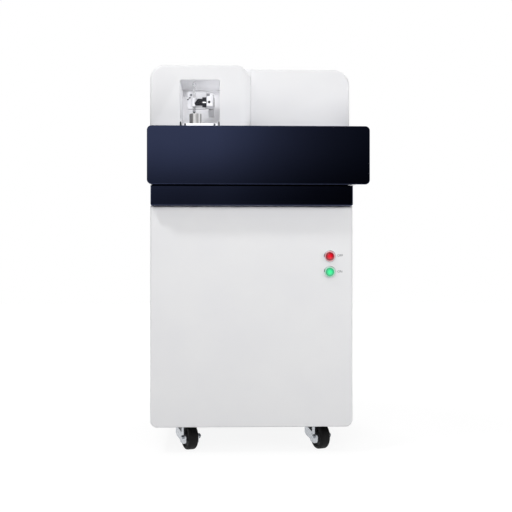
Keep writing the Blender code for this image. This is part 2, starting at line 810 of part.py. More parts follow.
def make_rear_panel():
    radii = (CABINET_CORNER, CABINET_CORNER, 0, 0)
    outline = rounded_outline(-HALF_WIDTH, HALF_WIDTH, CABINET_BOTTOM, DECK_BOTTOM - SEAT, radii)
    panel = prism("rear_panel_shape", outline, REAR_INNER, CABINET_DEPTH)
    slots = vent_slots()
    for side in (-1, 1):
        slots += grille_slots(side * FAN_X, FAN_Z, FAN_BORE)
    cut(panel, blocks("rear_panel_slots", slots))
    half = INLET_WIDTH / 2 - INLET_BODY_MARGIN + SEAT
    tall = INLET_HEIGHT / 2 - INLET_BODY_MARGIN + SEAT
    inlet_cut = block(
        "inlet_cut",
        (INLET_X - half, REAR_INNER - OVERRUN, INLET_Z - tall),
        (INLET_X + half, CABINET_DEPTH + OVERRUN, INLET_Z + tall),
    )
    argon_cut = cylinder(
        "argon_cut", ARGON_STEM + 2 * SEAT, -SHEET - OVERRUN, OVERRUN,
        (ARGON_X, CABINET_DEPTH, ARGON_Z), FACE_BACK,
    )
    data_half = DATA_WIDTH / 2 + SEAT
    data_tall = DATA_HEIGHT / 2 + SEAT
    data_cut = block(
        "data_cut",
        (DATA_X - data_half, REAR_INNER - OVERRUN, ARGON_Z - data_tall),
        (DATA_X + data_half, CABINET_DEPTH + OVERRUN, ARGON_Z + data_tall),
    )
    cut(panel, inlet_cut, argon_cut, data_cut)
    as_part(panel, "rear_panel", "white_powder_coat")


def make_waist_band():
    half = WAIST_WIDTH / 2
    radii = (WAIST_CORNER, WAIST_CORNER, 0, 0)
    waist = front_tray(
        "waist_shape", -half, half, WAIST_BOTTOM, WAIST_TOP,
        -WAIST_REACH, FRONT_PANEL_DEPTH, radii, SHEET,
    )
    as_part(waist, "waist_band", "navy_gloss_paint")


def make_desk_body():
    """The deep hollow worktop. Its back steps round the nose and the optics cover.

    It is open towards the cabinet, and the wing past the cabinet's right side is closed.
    """
    wall = DESK_WALL
    back = COVER_FRONT - SEAT
    outline = rounded_outline(-DESK_LEFT, DESK_RIGHT, DESK_BOTTOM, DESK_TOP, (DESK_CORNER,) * 4)
    desk = prism("desk_shape", outline, -DESK_REACH, back)
    low = DESK_BOTTOM + wall
    high = DESK_TOP - wall
    inner_radii = (DESK_CORNER - wall,) * 4
    hollow = rounded_outline(-DESK_LEFT + wall, DESK_RIGHT - wall, low, high, inner_radii)
    mouth_radii = (DESK_CORNER - wall, 0, 0, DESK_CORNER - wall)
    mouth = rounded_outline(-DESK_LEFT + wall, INSIDE, low, high, mouth_radii)
    cut(
        desk,
        prism("desk_hollow", hollow, -DESK_REACH + wall, back - wall),
        prism("desk_mouth", mouth, back - 2 * wall, back + OVERRUN),
    )
    step = block(
        "desk_step",
        (-DESK_LEFT - OVERRUN, NOSE_FRONT - SEAT, DESK_BOTTOM - OVERRUN),
        (0, back + OVERRUN, DESK_TOP + OVERRUN),
    )
    as_part(cut(desk, step), "desk_body", "navy_gloss_paint")


def hood_solid(
    name, left, right, front, back, bottom, top, top_radii, plan_radii, edge, shoulder=None,
):
    """What three outlines have in common: the front, the plan and the side of a hood.

    The plan and the side stand a hair proud of the flat faces, so no two faces coincide. A
    shoulder fills the front outline's corner before that.
    """
    low = bottom - OVERRUN
    lead = OUTLINE_LEAD
    face = rounded_outline(left, right, low, top, (0, 0, *top_radii), 8)
    plan = rounded_outline(left - lead, right + lead, front, back, (*plan_radii, 0, 0), 6)
    side = rounded_outline(
        front - lead, back + 2 * OVERRUN, low - OVERRUN, top + lead, (0, 0, 0, edge), 3,
    )
    solid = prism(name + "_front", face, front - OVERRUN, back + OVERRUN)
    if shoulder:
        join(solid, shoulder)
    tall = prism(name + "_plan", plan, bottom, top + OVERRUN, "plan")
    wide = prism(name + "_side", side, left - OVERRUN, right + OVERRUN, "side")
    return keep_common(solid, tall, wide)


def hood(
    name, left, right, front, back, top, top_radii, plan_radii, edge, shoulders=(None, None),
):
    """A hood with an open bottom: the outer solid less the same form one wall smaller."""
    wall = HOOD_WALL
    shell = hood_solid(
        name + "_outer", left, right, front, back, HOOD_BOTTOM, top,
        top_radii, plan_radii, edge, shoulders[0],
    )
    inner = hood_solid(
        name + "_inner", left + wall, right - wall, front + wall, back - wall,
        HOOD_BOTTOM - OVERRUN, top - wall,
        [max(radius - wall, 0) for radius in top_radii],
        [max(radius - wall, 0) for radius in plan_radii], edge - wall, shoulders[1],
    )
    return cut(shell, inner)


def nose_shoulder(name, inset):
    """The square corner behind the nose's round one, sloping down to the cover's top."""
    right = -inset
    start = right + inset - NOSE_TOP_RADIUS
    low = NOSE_TOP - NOSE_TOP_RADIUS
    radius = NOSE_SHOULDER_RADIUS
    corner = COVER_TOP - inset
    outline = [(start, low), (right, low)]
    outline += arc(right - radius, corner - radius, radius, 0, 1, 4)
    outline.append((start, NOSE_TOP - inset))
    return prism(name, outline, COVER_FRONT + inset, CABINET_DEPTH + OVERRUN)


def make_spark_pod():
    """The nose, with the window of the alcove cut up from its lower edge."""
    pod = hood(
        "pod", -NOSE_LEFT, 0, NOSE_FRONT, CABINET_DEPTH, NOSE_TOP,
        (NOSE_TOP_RADIUS, NOSE_TOP_RADIUS), (NOSE_EDGE_RADIUS, NOSE_SIDE_RADIUS),
        NOSE_EDGE_RADIUS,
        (nose_shoulder("pod_shoulder", 0), nose_shoulder("pod_shoulder_hollow", HOOD_WALL)),
    )
    outline = rounded_outline(
        ALCOVE_LEFT, ALCOVE_RIGHT, HOOD_BOTTOM - OVERRUN, HOOD_BOTTOM + WINDOW_HEIGHT,
        (0, 0, WINDOW_CORNER, WINDOW_CORNER), 4,
    )
    window = prism("window", outline, NOSE_FRONT - OVERRUN, NOSE_FRONT + HOOD_WALL + OVERRUN)
    as_part(cut(pod, window), "spark_pod", "white_powder_coat", smooth=True)


def make_optics_cover():
    """The cover, nearly square where it meets the nose and round on its free side."""
    cover = hood(
        "cover", SEAT, COVER_RIGHT, COVER_FRONT, CABINET_DEPTH, COVER_TOP,
        (COVER_TOP_RADIUS, COVER_SEAM_RADIUS), (COVER_SEAM_RADIUS, COVER_EDGE_RADIUS),
        COVER_EDGE_RADIUS,
    )
    as_part(cover, "optics_cover", "white_powder_coat", smooth=True)


def make_alcove_liner():
    """The white box behind the window: floor, two walls, ceiling and back."""
    left = ALCOVE_LEFT - SHEET
    right = ALCOVE_RIGHT + SHEET
    liner = block(
        "liner_shape",
        (left, LINER_FRONT, HOOD_BOTTOM),
        (right, LINER_BACK + SHEET, LINER_CEILING + SHEET),
    )
    hollow = block(
        "liner_hollow",
        (ALCOVE_LEFT, LINER_FRONT - OVERRUN, LINER_FLOOR),
        (ALCOVE_RIGHT, LINER_BACK, LINER_CEILING),
    )
    cut(liner, hollow, chamber_hole("liner_chamber_hole", HOOD_BOTTOM, LINER_FLOOR))
    as_part(liner, "alcove_liner", "white_powder_coat")


def make_spark_chamber():
    """The flanged block that hangs under the table, bored for the electrode and the light."""
    half = CHAMBER_WIDTH / 2
    body = block(
        "chamber_shape",
        (SPARK_X - half, CHAMBER_FRONT, CHAMBER_BOTTOM),
        (SPARK_X + half, CHAMBER_BACK, FLANGE_TOP),
    )
    left = ALCOVE_LEFT + TABLE_SIDE_GAP
    right = ALCOVE_RIGHT - TABLE_SIDE_GAP
    radii = (TABLE_CORNER,) * 4
    outline = rounded_outline(left, right, TABLE_FRONT, TABLE_BACK, radii, 4)
    flange = prism("chamber_flange", outline, FLANGE_BOTTOM, FLANGE_TOP, "plan")
    bore = cylinder(
        "chamber_bore", CHAMBER_BORE, BORE_BOTTOM, FLANGE_TOP + OVERRUN, (SPARK_X, SPARK_Y, 0),
    )
    port = cylinder(
        "light_port", LIGHT_BORE, 0, CHAMBER_BACK - SPARK_Y + OVERRUN,
        (SPARK_X, SPARK_Y, LIGHT_Z), FACE_BACK, 24,
    )
    cut(join(body, flange), bore, port)
    as_part(body, "spark_chamber", "cast_aluminium")


def make_table_plate():
    """The plate that the sample lies on, with its tapered spark hole."""
    left = ALCOVE_LEFT + TABLE_SIDE_GAP
    right = ALCOVE_RIGHT - TABLE_SIDE_GAP
    radii = (TABLE_CORNER,) * 4
    outline = rounded_outline(left, right, TABLE_FRONT, TABLE_BACK, radii, 4)
    table = prism("table_shape", outline, TABLE_BOTTOM, TABLE_TOP, "plan")
    slope = (TABLE_HOLE_BOTTOM - TABLE_HOLE_TOP) / TABLE_THICKNESS * OVERRUN
    hole = cylinder(
        "table_hole", TABLE_HOLE_BOTTOM + slope, TABLE_BOTTOM - OVERRUN, TABLE_TOP + OVERRUN,
        (SPARK_X, SPARK_Y, 0), end_diameter=TABLE_HOLE_TOP - slope,
    )
    as_part(cut(table, hole), "table_plate", "white_powder_coat")


def make_guide_strips():
    top = FLANGE_BOTTOM + STRIP_HEIGHT
    for name, wall, inward in (
        ("left_guide_strip", ALCOVE_LEFT, 1),
        ("right_guide_strip", ALCOVE_RIGHT, -1),
    ):
        near = wall + inward * SEAT
        far = near + inward * STRIP_WIDTH
        strip = block(
            name + "_shape",
            (min(near, far), TABLE_FRONT, FLANGE_BOTTOM),
            (max(near, far), TABLE_BACK, top),
        )
        as_part(strip, name, "black_plastic")


def make_electrode():
    """The pointed rod, in its ceramic seat at the bottom of the bore."""
    radius = ELECTRODE_DIAMETER / 2
    top = SAMPLE_BOTTOM - ELECTRODE_GAP
    bottom = BORE_BOTTOM + SEAT
    profile = [(0, top), (radius, top - ELECTRODE_TIP), (radius, bottom), (0, bottom)]
    rod = turned("electrode_shape", profile, (SPARK_X, SPARK_Y, 0), steps=20)
    as_part(rod, "electrode", "tungsten", smooth=True)
    outer = CHAMBER_BORE / 2 - SEAT
    inner = radius + SEAT
    seat_top = bottom + INSULATOR_HEIGHT
    ring = [(outer, seat_top), (outer, bottom), (inner, bottom), (inner, seat_top)]
    seat = turned("insulator_shape", ring, (SPARK_X, SPARK_Y, 0), closed=True)
    as_part(seat, "electrode_insulator", "alumina_ceramic", smooth=True)


def make_stand_column():
    """The column that carries the spark chamber on the shelf."""
    top = CHAMBER_BOTTOM - SEAT
    half = COLUMN_WIDTH / 2
    foot = CHAMBER_WIDTH / 2
    column = block(
        "column_shape",
        (SPARK_X - half, SPARK_Y - COLUMN_FOOT - half / 2, SHELF_SEAT),
        (SPARK_X + half, SPARK_Y + half + COLUMN_FOOT, top),
    )
    plate = block(
        "column_foot",
        (SPARK_X - foot, CHAMBER_FRONT, SHELF_SEAT),
        (SPARK_X + foot, CHAMBER_BACK, SHELF_SEAT + COLUMN_FOOT),
    )
    as_part(join(column, plate), "stand_column", "cast_aluminium")


def make_test_sample():
    sample = cylinder(
        "sample_shape", SAMPLE_DIAMETER, SAMPLE_BOTTOM, SAMPLE_TOP, (SPARK_X, SPARK_Y, 0), sides=48,
    )
    as_part(sample, "test_sample", "machined_steel", smooth=True)


def make_clamp_bracket():
    """The beam from the alcove's back wall, forked into two ears for the pivot pin."""
    bottom = KNUCKLE_BOTTOM - SEAT - EAR_THICKNESS
    top = KNUCKLE_TOP + SEAT + EAR_THICKNESS
    half = BEAM_WIDTH / 2
    back = LINER_BACK - SEAT
    beam = block(
        "bracket_shape", (PIVOT_X - half, PIVOT_Y, bottom), (PIVOT_X + half, back, top),
    )
    middle = (bottom + top) / 2
    plate = block(
        "bracket_plate",
        (PIVOT_X - BRACKET_WIDTH / 2, back - BRACKET_PLATE, middle - BRACKET_HEIGHT / 2),
        (PIVOT_X + BRACKET_WIDTH / 2, back, middle + BRACKET_HEIGHT / 2),
    )
    centre = (PIVOT_X, PIVOT_Y, 0)
    ears = cylinder("bracket_ears", 2 * KNUCKLE_RADIUS, bottom, top, centre)
    slot = block(
        "bracket_slot",
        (PIVOT_X - KNUCKLE_RADIUS - OVERRUN, PIVOT_Y - KNUCKLE_RADIUS - OVERRUN, KNUCKLE_BOTTOM - SEAT),
        (PIVOT_X + KNUCKLE_RADIUS + OVERRUN, PIVOT_Y + EAR_REACH, KNUCKLE_TOP + SEAT),
    )
    bore = cylinder(
        "bracket_bore", PIN_DIAMETER + 2 * SEAT, bottom - OVERRUN, top + OVERRUN, centre,
    )
    cut(join(beam, plate, ears), slot, bore)
    as_part(beam, "clamp_bracket", "machined_steel", smooth=True)


def make_clamp_pivot_pin():
    bottom = KNUCKLE_BOTTOM - 2 * SEAT - EAR_THICKNESS
    top = KNUCKLE_TOP + 2 * SEAT + EAR_THICKNESS
    radius = PIN_DIAMETER / 2
    head = PIN_HEAD_DIAMETER / 2
    profile = [
        (0, top + PIN_HEAD), (head, top + PIN_HEAD), (head, top), (radius, top),
        (radius, bottom), (head, bottom), (head, bottom - PIN_HEAD), (0, bottom - PIN_HEAD),
    ]
    pin = turned("pivot_pin_shape", profile, (PIVOT_X, PIVOT_Y, 0), steps=24)
    as_part(pin, "clamp_pivot_pin", "machined_steel", smooth=True)


def make_clamp_head():
    """The steel block on the pivot, chamfered at its upper right edge."""
    outline = [
        (HEAD_LEFT, HEAD_BOTTOM),
        (HEAD_RIGHT, HEAD_BOTTOM),
        (HEAD_RIGHT, HEAD_TOP - HEAD_CHAMFER),
        (HEAD_RIGHT - HEAD_CHAMFER, HEAD_TOP),
        (HEAD_LEFT, HEAD_TOP),
    ]
    head = prism("head_shape", outline, HEAD_FRONT, HEAD_BACK)
    centre = (PIVOT_X, PIVOT_Y, 0)
    knuckle = cylinder("head_knuckle", 2 * KNUCKLE_RADIUS, KNUCKLE_BOTTOM, KNUCKLE_TOP, centre)
    half = BEAM_WIDTH / 2
    neck = block(
        "head_neck",
        (PIVOT_X - half, HEAD_BACK - OVERRUN, KNUCKLE_BOTTOM),
        (PIVOT_X + half, PIVOT_Y, KNUCKLE_TOP),
    )
    bore = cylinder(
        "head_bore", PIN_DIAMETER + 2 * SEAT, KNUCKLE_BOTTOM - OVERRUN, KNUCKLE_TOP + OVERRUN,
        centre, sides=24,
    )
    stub = cylinder(
        "head_stub", 2 * LEVER_BORE, -OVERRUN, LEVER_DISC_WIDTH / 2,
        (HEAD_LEFT, LEVER_Y, LEVER_Z), Matrix.Rotation(-math.pi / 2, 4, "Y"), 20,
    )
    cut(join(head, neck, knuckle), bore)
    join(head, stub)
    with_origin(head, (PIVOT_X, PIVOT_Y, KNUCKLE_MIDDLE))
    as_part(head, "clamp_head", "machined_steel", smooth=True)


def make_clamp_arm():
    """The white arm beside the head, with the lug that guides the clamp rod."""
    radii = (ARM_CORNER, 0, 0, ARM_CORNER)
    outline = rounded_outline(ARM_LEFT, ARM_RIGHT, ARM_BOTTOM, ARM_BOTTOM + ARM_HEIGHT, radii, 4)
    arm = prism("arm_shape", outline, ARM_FRONT, ARM_FRONT + ARM_THICKNESS)
    web = block(
        "arm_web",
        (SPARK_X - LUG_RADIUS, SPARK_Y, LUG_BOTTOM),
        (SPARK_X + LUG_RADIUS, ARM_FRONT + OVERRUN, LUG_TOP),
    )
    centre = (SPARK_X, SPARK_Y, 0)
    lug = cylinder("arm_lug", 2 * LUG_RADIUS, LUG_BOTTOM, LUG_TOP, centre)
    bore = cylinder(
        "arm_bore", ROD_DIAMETER + 2 * SEAT, LUG_BOTTOM - OVERRUN, LUG_TOP + OVERRUN, centre,
        sides=24,
    )
    cut(join(arm, web, lug), bore)
    as_part(arm, "clamp_arm", "white_powder_coat", smooth=True)


def make_clamp_rod():
    """The steel rod, with its olive-shaped knob on top."""
    radius = ROD_DIAMETER / 2
    bottom = TIP_TOP + SEAT
    knob_radius = KNOB_DIAMETER / 2
    knob_half = KNOB_HEIGHT / 2
    knob_z = KNOB_TOP - knob_half
    rings = 8
    profile = []
    for ring in range(rings + 1):
        angle = math.pi * ring / rings
        across = knob_radius * math.sin(angle)
        if ring and across < radius and angle > math.pi / 2:
            break
        profile.append((across, knob_z + knob_half * math.cos(angle)))
    neck = knob_z - knob_half * math.sqrt(1 - (radius / knob_radius) ** 2)
    profile += [(radius, neck), (radius, bottom), (0, bottom)]
    profile[0] = (0, KNOB_TOP)
    rod = turned("rod_shape", profile, (SPARK_X, SPARK_Y, 0), steps=18)
    with_origin(rod, (SPARK_X, SPARK_Y, LUG_BOTTOM))
    as_part(rod, "clamp_rod", "machined_steel", smooth=True)


def make_pressure_tip():
    """The black tip that presses on the sample, with the collar that the spring sits on."""
    collar = TIP_DIAMETER / 2
    nose = TIP_NOSE
    profile = [
        (0, TIP_TOP), (collar, TIP_TOP), (collar, TIP_TOP - nose),
        (collar - nose, TIP_TOP - nose), (nose, TIP_BOTTOM), (0, TIP_BOTTOM),
    ]
    tip = turned("tip_shape", profile, (SPARK_X, SPARK_Y, 0), steps=24)
    as_part(tip, "pressure_tip", "black_plastic", smooth=True)


def spring_points():
    """Centre line of the coil: straight ends one wire thick, and even turns between them."""
    low = TIP_TOP + SEAT
    high = LUG_BOTTOM - SEAT
    radius = (SPRING_DIAMETER - SPRING_WIRE) / 2
    start = low + SPRING_WIRE
    rise = high - SPRING_WIRE - start
    steps = SPRING_TURNS * SPRING_POINTS_PER_TURN
    points = [(SPARK_X + radius, SPARK_Y, low)]
    for step in range(steps + 1):
        angle = math.tau * step / SPRING_POINTS_PER_TURN
        x = SPARK_X + radius * math.cos(angle)
        y = SPARK_Y + radius * math.sin(angle)
        points.append((x, y, start + rise * step / steps))
    points.append((SPARK_X + radius, SPARK_Y, high))
    return points


def least_gap(points):
    """The smallest clear space between points at least half a turn apart along the coil."""
    apart = SPRING_POINTS_PER_TURN // 2
    least = math.inf
    for first in range(len(points)):
        for second in range(first + apart, len(points)):
            distance = (Vector(points[first]) - Vector(points[second])).length
            least = min(least, distance - SPRING_WIRE)
    return least


def make_clamp_spring():
    points = spring_points()
    print(f"clamp_spring least gap to itself: {least_gap(points) * 1000:.2f} mm")
    curve = bpy.data.curves.new("clamp_spring", "CURVE")
    curve.dimensions = "3D"
    curve.bevel_depth = SPRING_WIRE / 2
    curve.bevel_resolution = 1
    curve.use_fill_caps = True
    line = curve.splines.new("POLY")
    line.points.add(len(points) - 1)
    for point, place in zip(line.points, points, strict=True):
        point.co = (*place, 1)
    as_part(place_object("spring_shape", curve, Matrix()), "clamp_spring", "spring_steel")


def make_lock_lever():
    """The black lever on the head: a ribbed disc and a handle with a slanted upper edge."""
    right = HEAD_LEFT - SEAT
    disc_left = right - LEVER_DISC_WIDTH
    rib = math.pi / LEVER_RIBS
    outline = []
    for step in range(2 * LEVER_RIBS):
        radius = LEVER_DISC_RADIUS - (LEVER_RIB_DEPTH if step % 2 else 0)
        for side in (-1, 1):
            angle = (step + side * LEVER_RIB_SHARE) * rib
            outline.append((LEVER_Y + radius * math.cos(angle), LEVER_Z + radius * math.sin(angle)))
    lever = prism("lever_shape", outline, disc_left, right, "side")
    end = disc_left - LEVER_BODY_LENGTH
    low = LEVER_Z - LEVER_BODY_HEIGHT / 2
    high = LEVER_Z + LEVER_BODY_HEIGHT / 2
    slant_share = 0.55
    drop_share = 0.65
    heel_share = 0.15
    body_outline = [
        (disc_left + LEVER_DISC_WIDTH / 2, low),
        (disc_left + LEVER_DISC_WIDTH / 2, high),
        (end + LEVER_BODY_LENGTH * (1 - slant_share), high),
        (end, high - LEVER_BODY_HEIGHT * drop_share),
        (end + LEVER_BODY_LENGTH * heel_share, low),
    ]
    half = LEVER_BODY_DEPTH / 2
    body = prism("lever_body", list(reversed(body_outline)), LEVER_Y - half, LEVER_Y + half)
    bore = cylinder(
        "lever_bore", 2 * (LEVER_BORE + SEAT), -OVERRUN, LEVER_DISC_WIDTH / 2 + SEAT,
        (right, LEVER_Y, LEVER_Z), Matrix.Rotation(-math.pi / 2, 4, "Y"), 20,
    )
    cut(join(lever, body), bore)
    with_origin(lever, (right, LEVER_Y, LEVER_Z))
    as_part(lever, "lock_lever", "black_plastic")


def make_light_pipe():
    """The tube that carries the light from the spark chamber into the optics."""
    outer = LIGHT_PIPE_DIAMETER / 2
    inner = LIGHT_BORE / 2
    length = OPTICS_FRONT - CHAMBER_BACK - 2 * SEAT
    flange = outer + LIGHT_FLANGE
    profile = [
        (flange, length), (flange, length - LIGHT_FLANGE), (outer, length - LIGHT_FLANGE),
        (outer, LIGHT_FLANGE), (flange, LIGHT_FLANGE), (flange, 0), (inner, 0), (inner, length),
    ]
    centre = (SPARK_X, CHAMBER_BACK + SEAT, LIGHT_Z)
    pipe = turned("light_pipe_shape", profile, centre, FACE_BACK, 20, closed=True)
    as_part(pipe, "light_pipe", "cast_aluminium", smooth=True)


def make_optical_chamber():
    """The cast box with the grating's seat inside, open at the top for its lid."""
    radii = (OPTICS_CORNER,) * 4
    outline = rounded_outline(OPTICS_LEFT, OPTICS_RIGHT, OPTICS_FRONT, OPTICS_BACK, radii, 3)
    chamber = prism("optics_shape", outline, OPTICS_BOTTOM, OPTICS_TOP, "plan")
    wall = OPTICS_WALL
    inner = rounded_outline(
        OPTICS_LEFT + wall, OPTICS_RIGHT - wall, OPTICS_FRONT + wall, OPTICS_BACK - wall,
        [radius - wall for radius in radii], 3,
    )
    hollow = prism("optics_hollow", inner, OPTICS_BOTTOM + wall, OPTICS_TOP + OVERRUN, "plan")
    port = cylinder(
        "optics_port", LIGHT_BORE, -OVERRUN, wall + OVERRUN,
        (SPARK_X, OPTICS_FRONT, LIGHT_Z), FACE_BACK, 24,
    )
    cut(chamber, hollow, port)
    inset = OPTICS_FOOT_INSET
    for number, (x, y) in enumerate((
        (OPTICS_LEFT + inset, OPTICS_FRONT + inset),
        (OPTICS_RIGHT - inset, OPTICS_FRONT + inset),
        (OPTICS_LEFT + inset, OPTICS_BACK - inset),
        (OPTICS_RIGHT - inset, OPTICS_BACK - inset),
    )):
        foot = cylinder(
            f"optics_foot_{number}", OPTICS_FOOT_DIAMETER, SHELF_SEAT, OPTICS_BOTTOM + wall / 2,
            (x, y, 0), sides=12,
        )
        join(chamber, foot)
    back = OPTICS_BACK - wall - GRATING_SET_BACK
    grating = block(
        "grating_seat",
        (SPARK_X - GRATING_WIDTH / 2, back - GRATING_THICKNESS, OPTICS_BOTTOM + wall / 2),
        (SPARK_X + GRATING_WIDTH / 2, back, OPTICS_BOTTOM + wall + GRATING_HEIGHT),
    )
    join(chamber, grating)
    as_part(chamber, "optical_chamber", "cast_aluminium")
    lid_bottom = OPTICS_TOP + SEAT
    lid = prism("optics_lid", outline, lid_bottom, lid_bottom + OPTICS_LID, "plan")
    as_part(lid, "chamber_lid", "cast_aluminium")


def make_detector_board():
    """The upright board in the chamber, with its row of light detectors and its foot."""
    left = (OPTICS_LEFT + OPTICS_RIGHT) / 2 + GRATING_WIDTH / 2
    right = OPTICS_RIGHT - OPTICS_WALL - DETECTOR_SET_BACK
    floor = OPTICS_BOTTOM + OPTICS_WALL + SEAT
    front = OPTICS_FRONT + OPTICS_WALL + DETECTOR_SET_BACK
    length = min(DETECTOR_LENGTH, right - left)
    board = block(
        "detector_board_shape",
        (right - length, front, floor),
        (right, front + BOARD_THICKNESS, floor + DETECTOR_BOARD_HEIGHT),
    )
    foot = block(
        "detector_foot",
        (right - length, front - DETECTOR_FOOT_DEPTH / 2, floor),
        (right, front + DETECTOR_FOOT_DEPTH / 2, floor + DETECTOR_FOOT / 2),
    )
    join(board, foot)
    pitch = length / DETECTOR_COUNT
    middle = floor + DETECTOR_BOARD_HEIGHT / 2
    corners = []
    for number in range(DETECTOR_COUNT):
        x = right - length + pitch * (number + 0.5)
        half = min(DETECTOR_SIZE, pitch * DETECTOR_WIDTH_SHARE) / 2
        low = (x - half, front + BOARD_THICKNESS / 2, middle - DETECTOR_SIZE / 2)
        high = (x + half, front + BOARD_THICKNESS + DETECTOR_DEPTH, middle + DETECTOR_SIZE / 2)
        corners.append((low, high))
    join(board, blocks("detectors", corners))
    as_part(board, "detector_board", "circuit_board")


def make_power_supply():
    """The supply in its perforated case."""
    low = (SUPPLY_X - SUPPLY_WIDTH / 2, SUPPLY_Y - SUPPLY_LENGTH / 2, PAN_FLOOR)
    high = (SUPPLY_X + SUPPLY_WIDTH / 2, SUPPLY_Y + SUPPLY_LENGTH / 2, PAN_FLOOR + SUPPLY_HEIGHT)
    case = block("supply_shape", low, high)
    pitch = SUPPLY_LENGTH / (SUPPLY_SLOTS + 1)
    corners = []
    for number in range(SUPPLY_SLOTS):
        y = low[1] + pitch * (number + 1)
        corners.append((
            (SUPPLY_X - SUPPLY_WIDTH / 4, y - SUPPLY_SLOT / 2, high[2] - SUPPLY_SLOT_DEPTH),
            (SUPPLY_X + SUPPLY_WIDTH / 4, y + SUPPLY_SLOT / 2, high[2] + OVERRUN),
        ))
    cut(case, blocks("supply_slots", corners))
    as_part(case, "power_supply", "galvanised_sheet")


def make_spark_source():
    """The spark source, with the cooling fins along its top."""
    low = (SOURCE_X - SOURCE_WIDTH / 2, SOURCE_Y - SOURCE_LENGTH / 2, PAN_FLOOR)
    high = (SOURCE_X + SOURCE_WIDTH / 2, SOURCE_Y + SOURCE_LENGTH / 2, PAN_FLOOR + SOURCE_HEIGHT)
    case = block("source_shape", low, high)
    pitch = SOURCE_WIDTH / (SOURCE_FINS + 0.5)
    corners = []
    for number in range(SOURCE_FINS):
        x = low[0] + pitch * (number + 0.5)
        corners.append((
            (x, low[1] - OVERRUN, high[2] - SOURCE_FIN_DEPTH),
            (x + pitch / 2, high[1] + OVERRUN, high[2] + OVERRUN),
        ))
    cut(case, blocks("source_gaps", corners))
    as_part(case, "spark_source", "cast_aluminium")


def make_control_board():
    """The readout board on four standoffs."""
    half = CONTROL_WIDTH / 2
    deep = CONTROL_LENGTH / 2
    bottom = PAN_FLOOR + CONTROL_STANDOFF
    top = bottom + BOARD_THICKNESS
    board = block(
        "control_shape",
        (CONTROL_X - half, CONTROL_Y - deep, bottom),
        (CONTROL_X + half, CONTROL_Y + deep, top),
    )
    inset = CONTROL_STANDOFF_INSET
    for number, (side, end) in enumerate(((-1, -1), (1, -1), (-1, 1), (1, 1))):
        place = (CONTROL_X + side * (half - inset), CONTROL_Y + end * (deep - inset), 0)
        foot = cylinder(
            f"standoff_{number}", CONTROL_STANDOFF_DIAMETER, PAN_FLOOR,
            bottom + BOARD_THICKNESS / 2, place, sides=12,
        )
        join(board, foot)
    heatsink = block(
        "control_heatsink",
        (CONTROL_X - CONTROL_HEATSINK / 2, CONTROL_Y - CONTROL_HEATSINK / 2, top - BOARD_THICKNESS / 2),
        (CONTROL_X + CONTROL_HEATSINK / 2, CONTROL_Y + CONTROL_HEATSINK / 2, top + CONTROL_HEATSINK_HEIGHT),
    )
    as_part(join(board, heatsink), "control_board", "circuit_board")


def make_argon_valve_block():
    """The manifold with its solenoid coils."""
    block_top = PAN_FLOOR + VALVE_HEIGHT
    body = block(
        "valve_shape",
        (VALVE_X - VALVE_WIDTH / 2, VALVE_Y - VALVE_LENGTH / 2, PAN_FLOOR),
        (VALVE_X + VALVE_WIDTH / 2, VALVE_Y + VALVE_LENGTH / 2, block_top),
    )
    pitch = VALVE_WIDTH / VALVE_COILS
    for number in range(VALVE_COILS):
        x = VALVE_X - VALVE_WIDTH / 2 + pitch * (number + 0.5)
        coil = cylinder(
            f"valve_coil_{number}", VALVE_COIL_DIAMETER, block_top - SHEET,
            block_top + VALVE_COIL_HEIGHT, (x, VALVE_Y, 0), sides=24,
        )
        join(body, coil)
    as_part(body, "argon_valve_block", "cast_aluminium")


def fan_frame_shape():
    """A square fan frame about local Z, with its bore, struts and motor seat."""
    half = FAN_SIZE / 2
    radii = (FAN_CORNER,) * 4
    outline = rounded_outline(-half, half, -half, half, radii, 4)
    frame = prism("fan_frame_shape", outline, 0, FAN_DEPTH, "plan")
    cut(frame, cylinder("fan_bore", FAN_BORE, -OVERRUN, FAN_DEPTH + OVERRUN, (0, 0, 0), sides=36))
    seat = cylinder("fan_seat", FAN_HUB, 0, FAN_BACK_GAP, (0, 0, 0), sides=28)
    reach = FAN_BORE / 2 + FAN_CORNER / 4
    for number in range(FAN_STRUTS):
        turn = Matrix.Rotation(math.tau * (number + 0.5) / FAN_STRUTS, 4, "Z")
        low = (0, -FAN_STRUT / 2, 0)
        high = (reach, FAN_STRUT / 2, FAN_BACK_GAP)
        join(seat, block(f"fan_strut_{number}", low, high, turn))
    shaft_top = FAN_BACK_GAP + SEAT + FAN_HUB_DEPTH / 2
    shaft = cylinder("fan_shaft", FAN_SHAFT, FAN_BACK_GAP / 2, shaft_top, (0, 0, 0), sides=16)
    join(frame, seat, shaft)
    return with_origin(frame, (0, 0, 0))


def fan_rotor_shape():
    """A hub with pitched blades about local Z."""
    bottom = FAN_BACK_GAP + SEAT
    top = bottom + FAN_HUB_DEPTH
    hub = cylinder("fan_hub", FAN_HUB, bottom, top, (0, 0, 0), sides=28)
    inner = FAN_HUB / 4
    outer = FAN_BORE / 2 - FAN_TIP_GAP
    middle = (bottom + top) / 2
    for number in range(FAN_BLADES):
        spin = Matrix.Rotation(math.tau * number / FAN_BLADES, 4, "Z")
        pitch = Matrix.Rotation(FAN_BLADE_PITCH, 4, "X")
        turn = spin @ Matrix.Translation((0, 0, middle)) @ pitch
        low = (inner, -FAN_BLADE_CHORD / 2, -FAN_BLADE_THICKNESS / 2)
        high = (outer, FAN_BLADE_CHORD / 2, FAN_BLADE_THICKNESS / 2)
        join(hub, block(f"fan_blade_{number}", low, high, turn))
    bore = cylinder(
        "fan_hub_bore", FAN_SHAFT + 2 * SEAT, bottom - OVERRUN, bottom + FAN_HUB_DEPTH / 2 + 2 * SEAT,
        (0, 0, 0), sides=16,
    )
    cut(hub, bore)
    return frozen(hub)


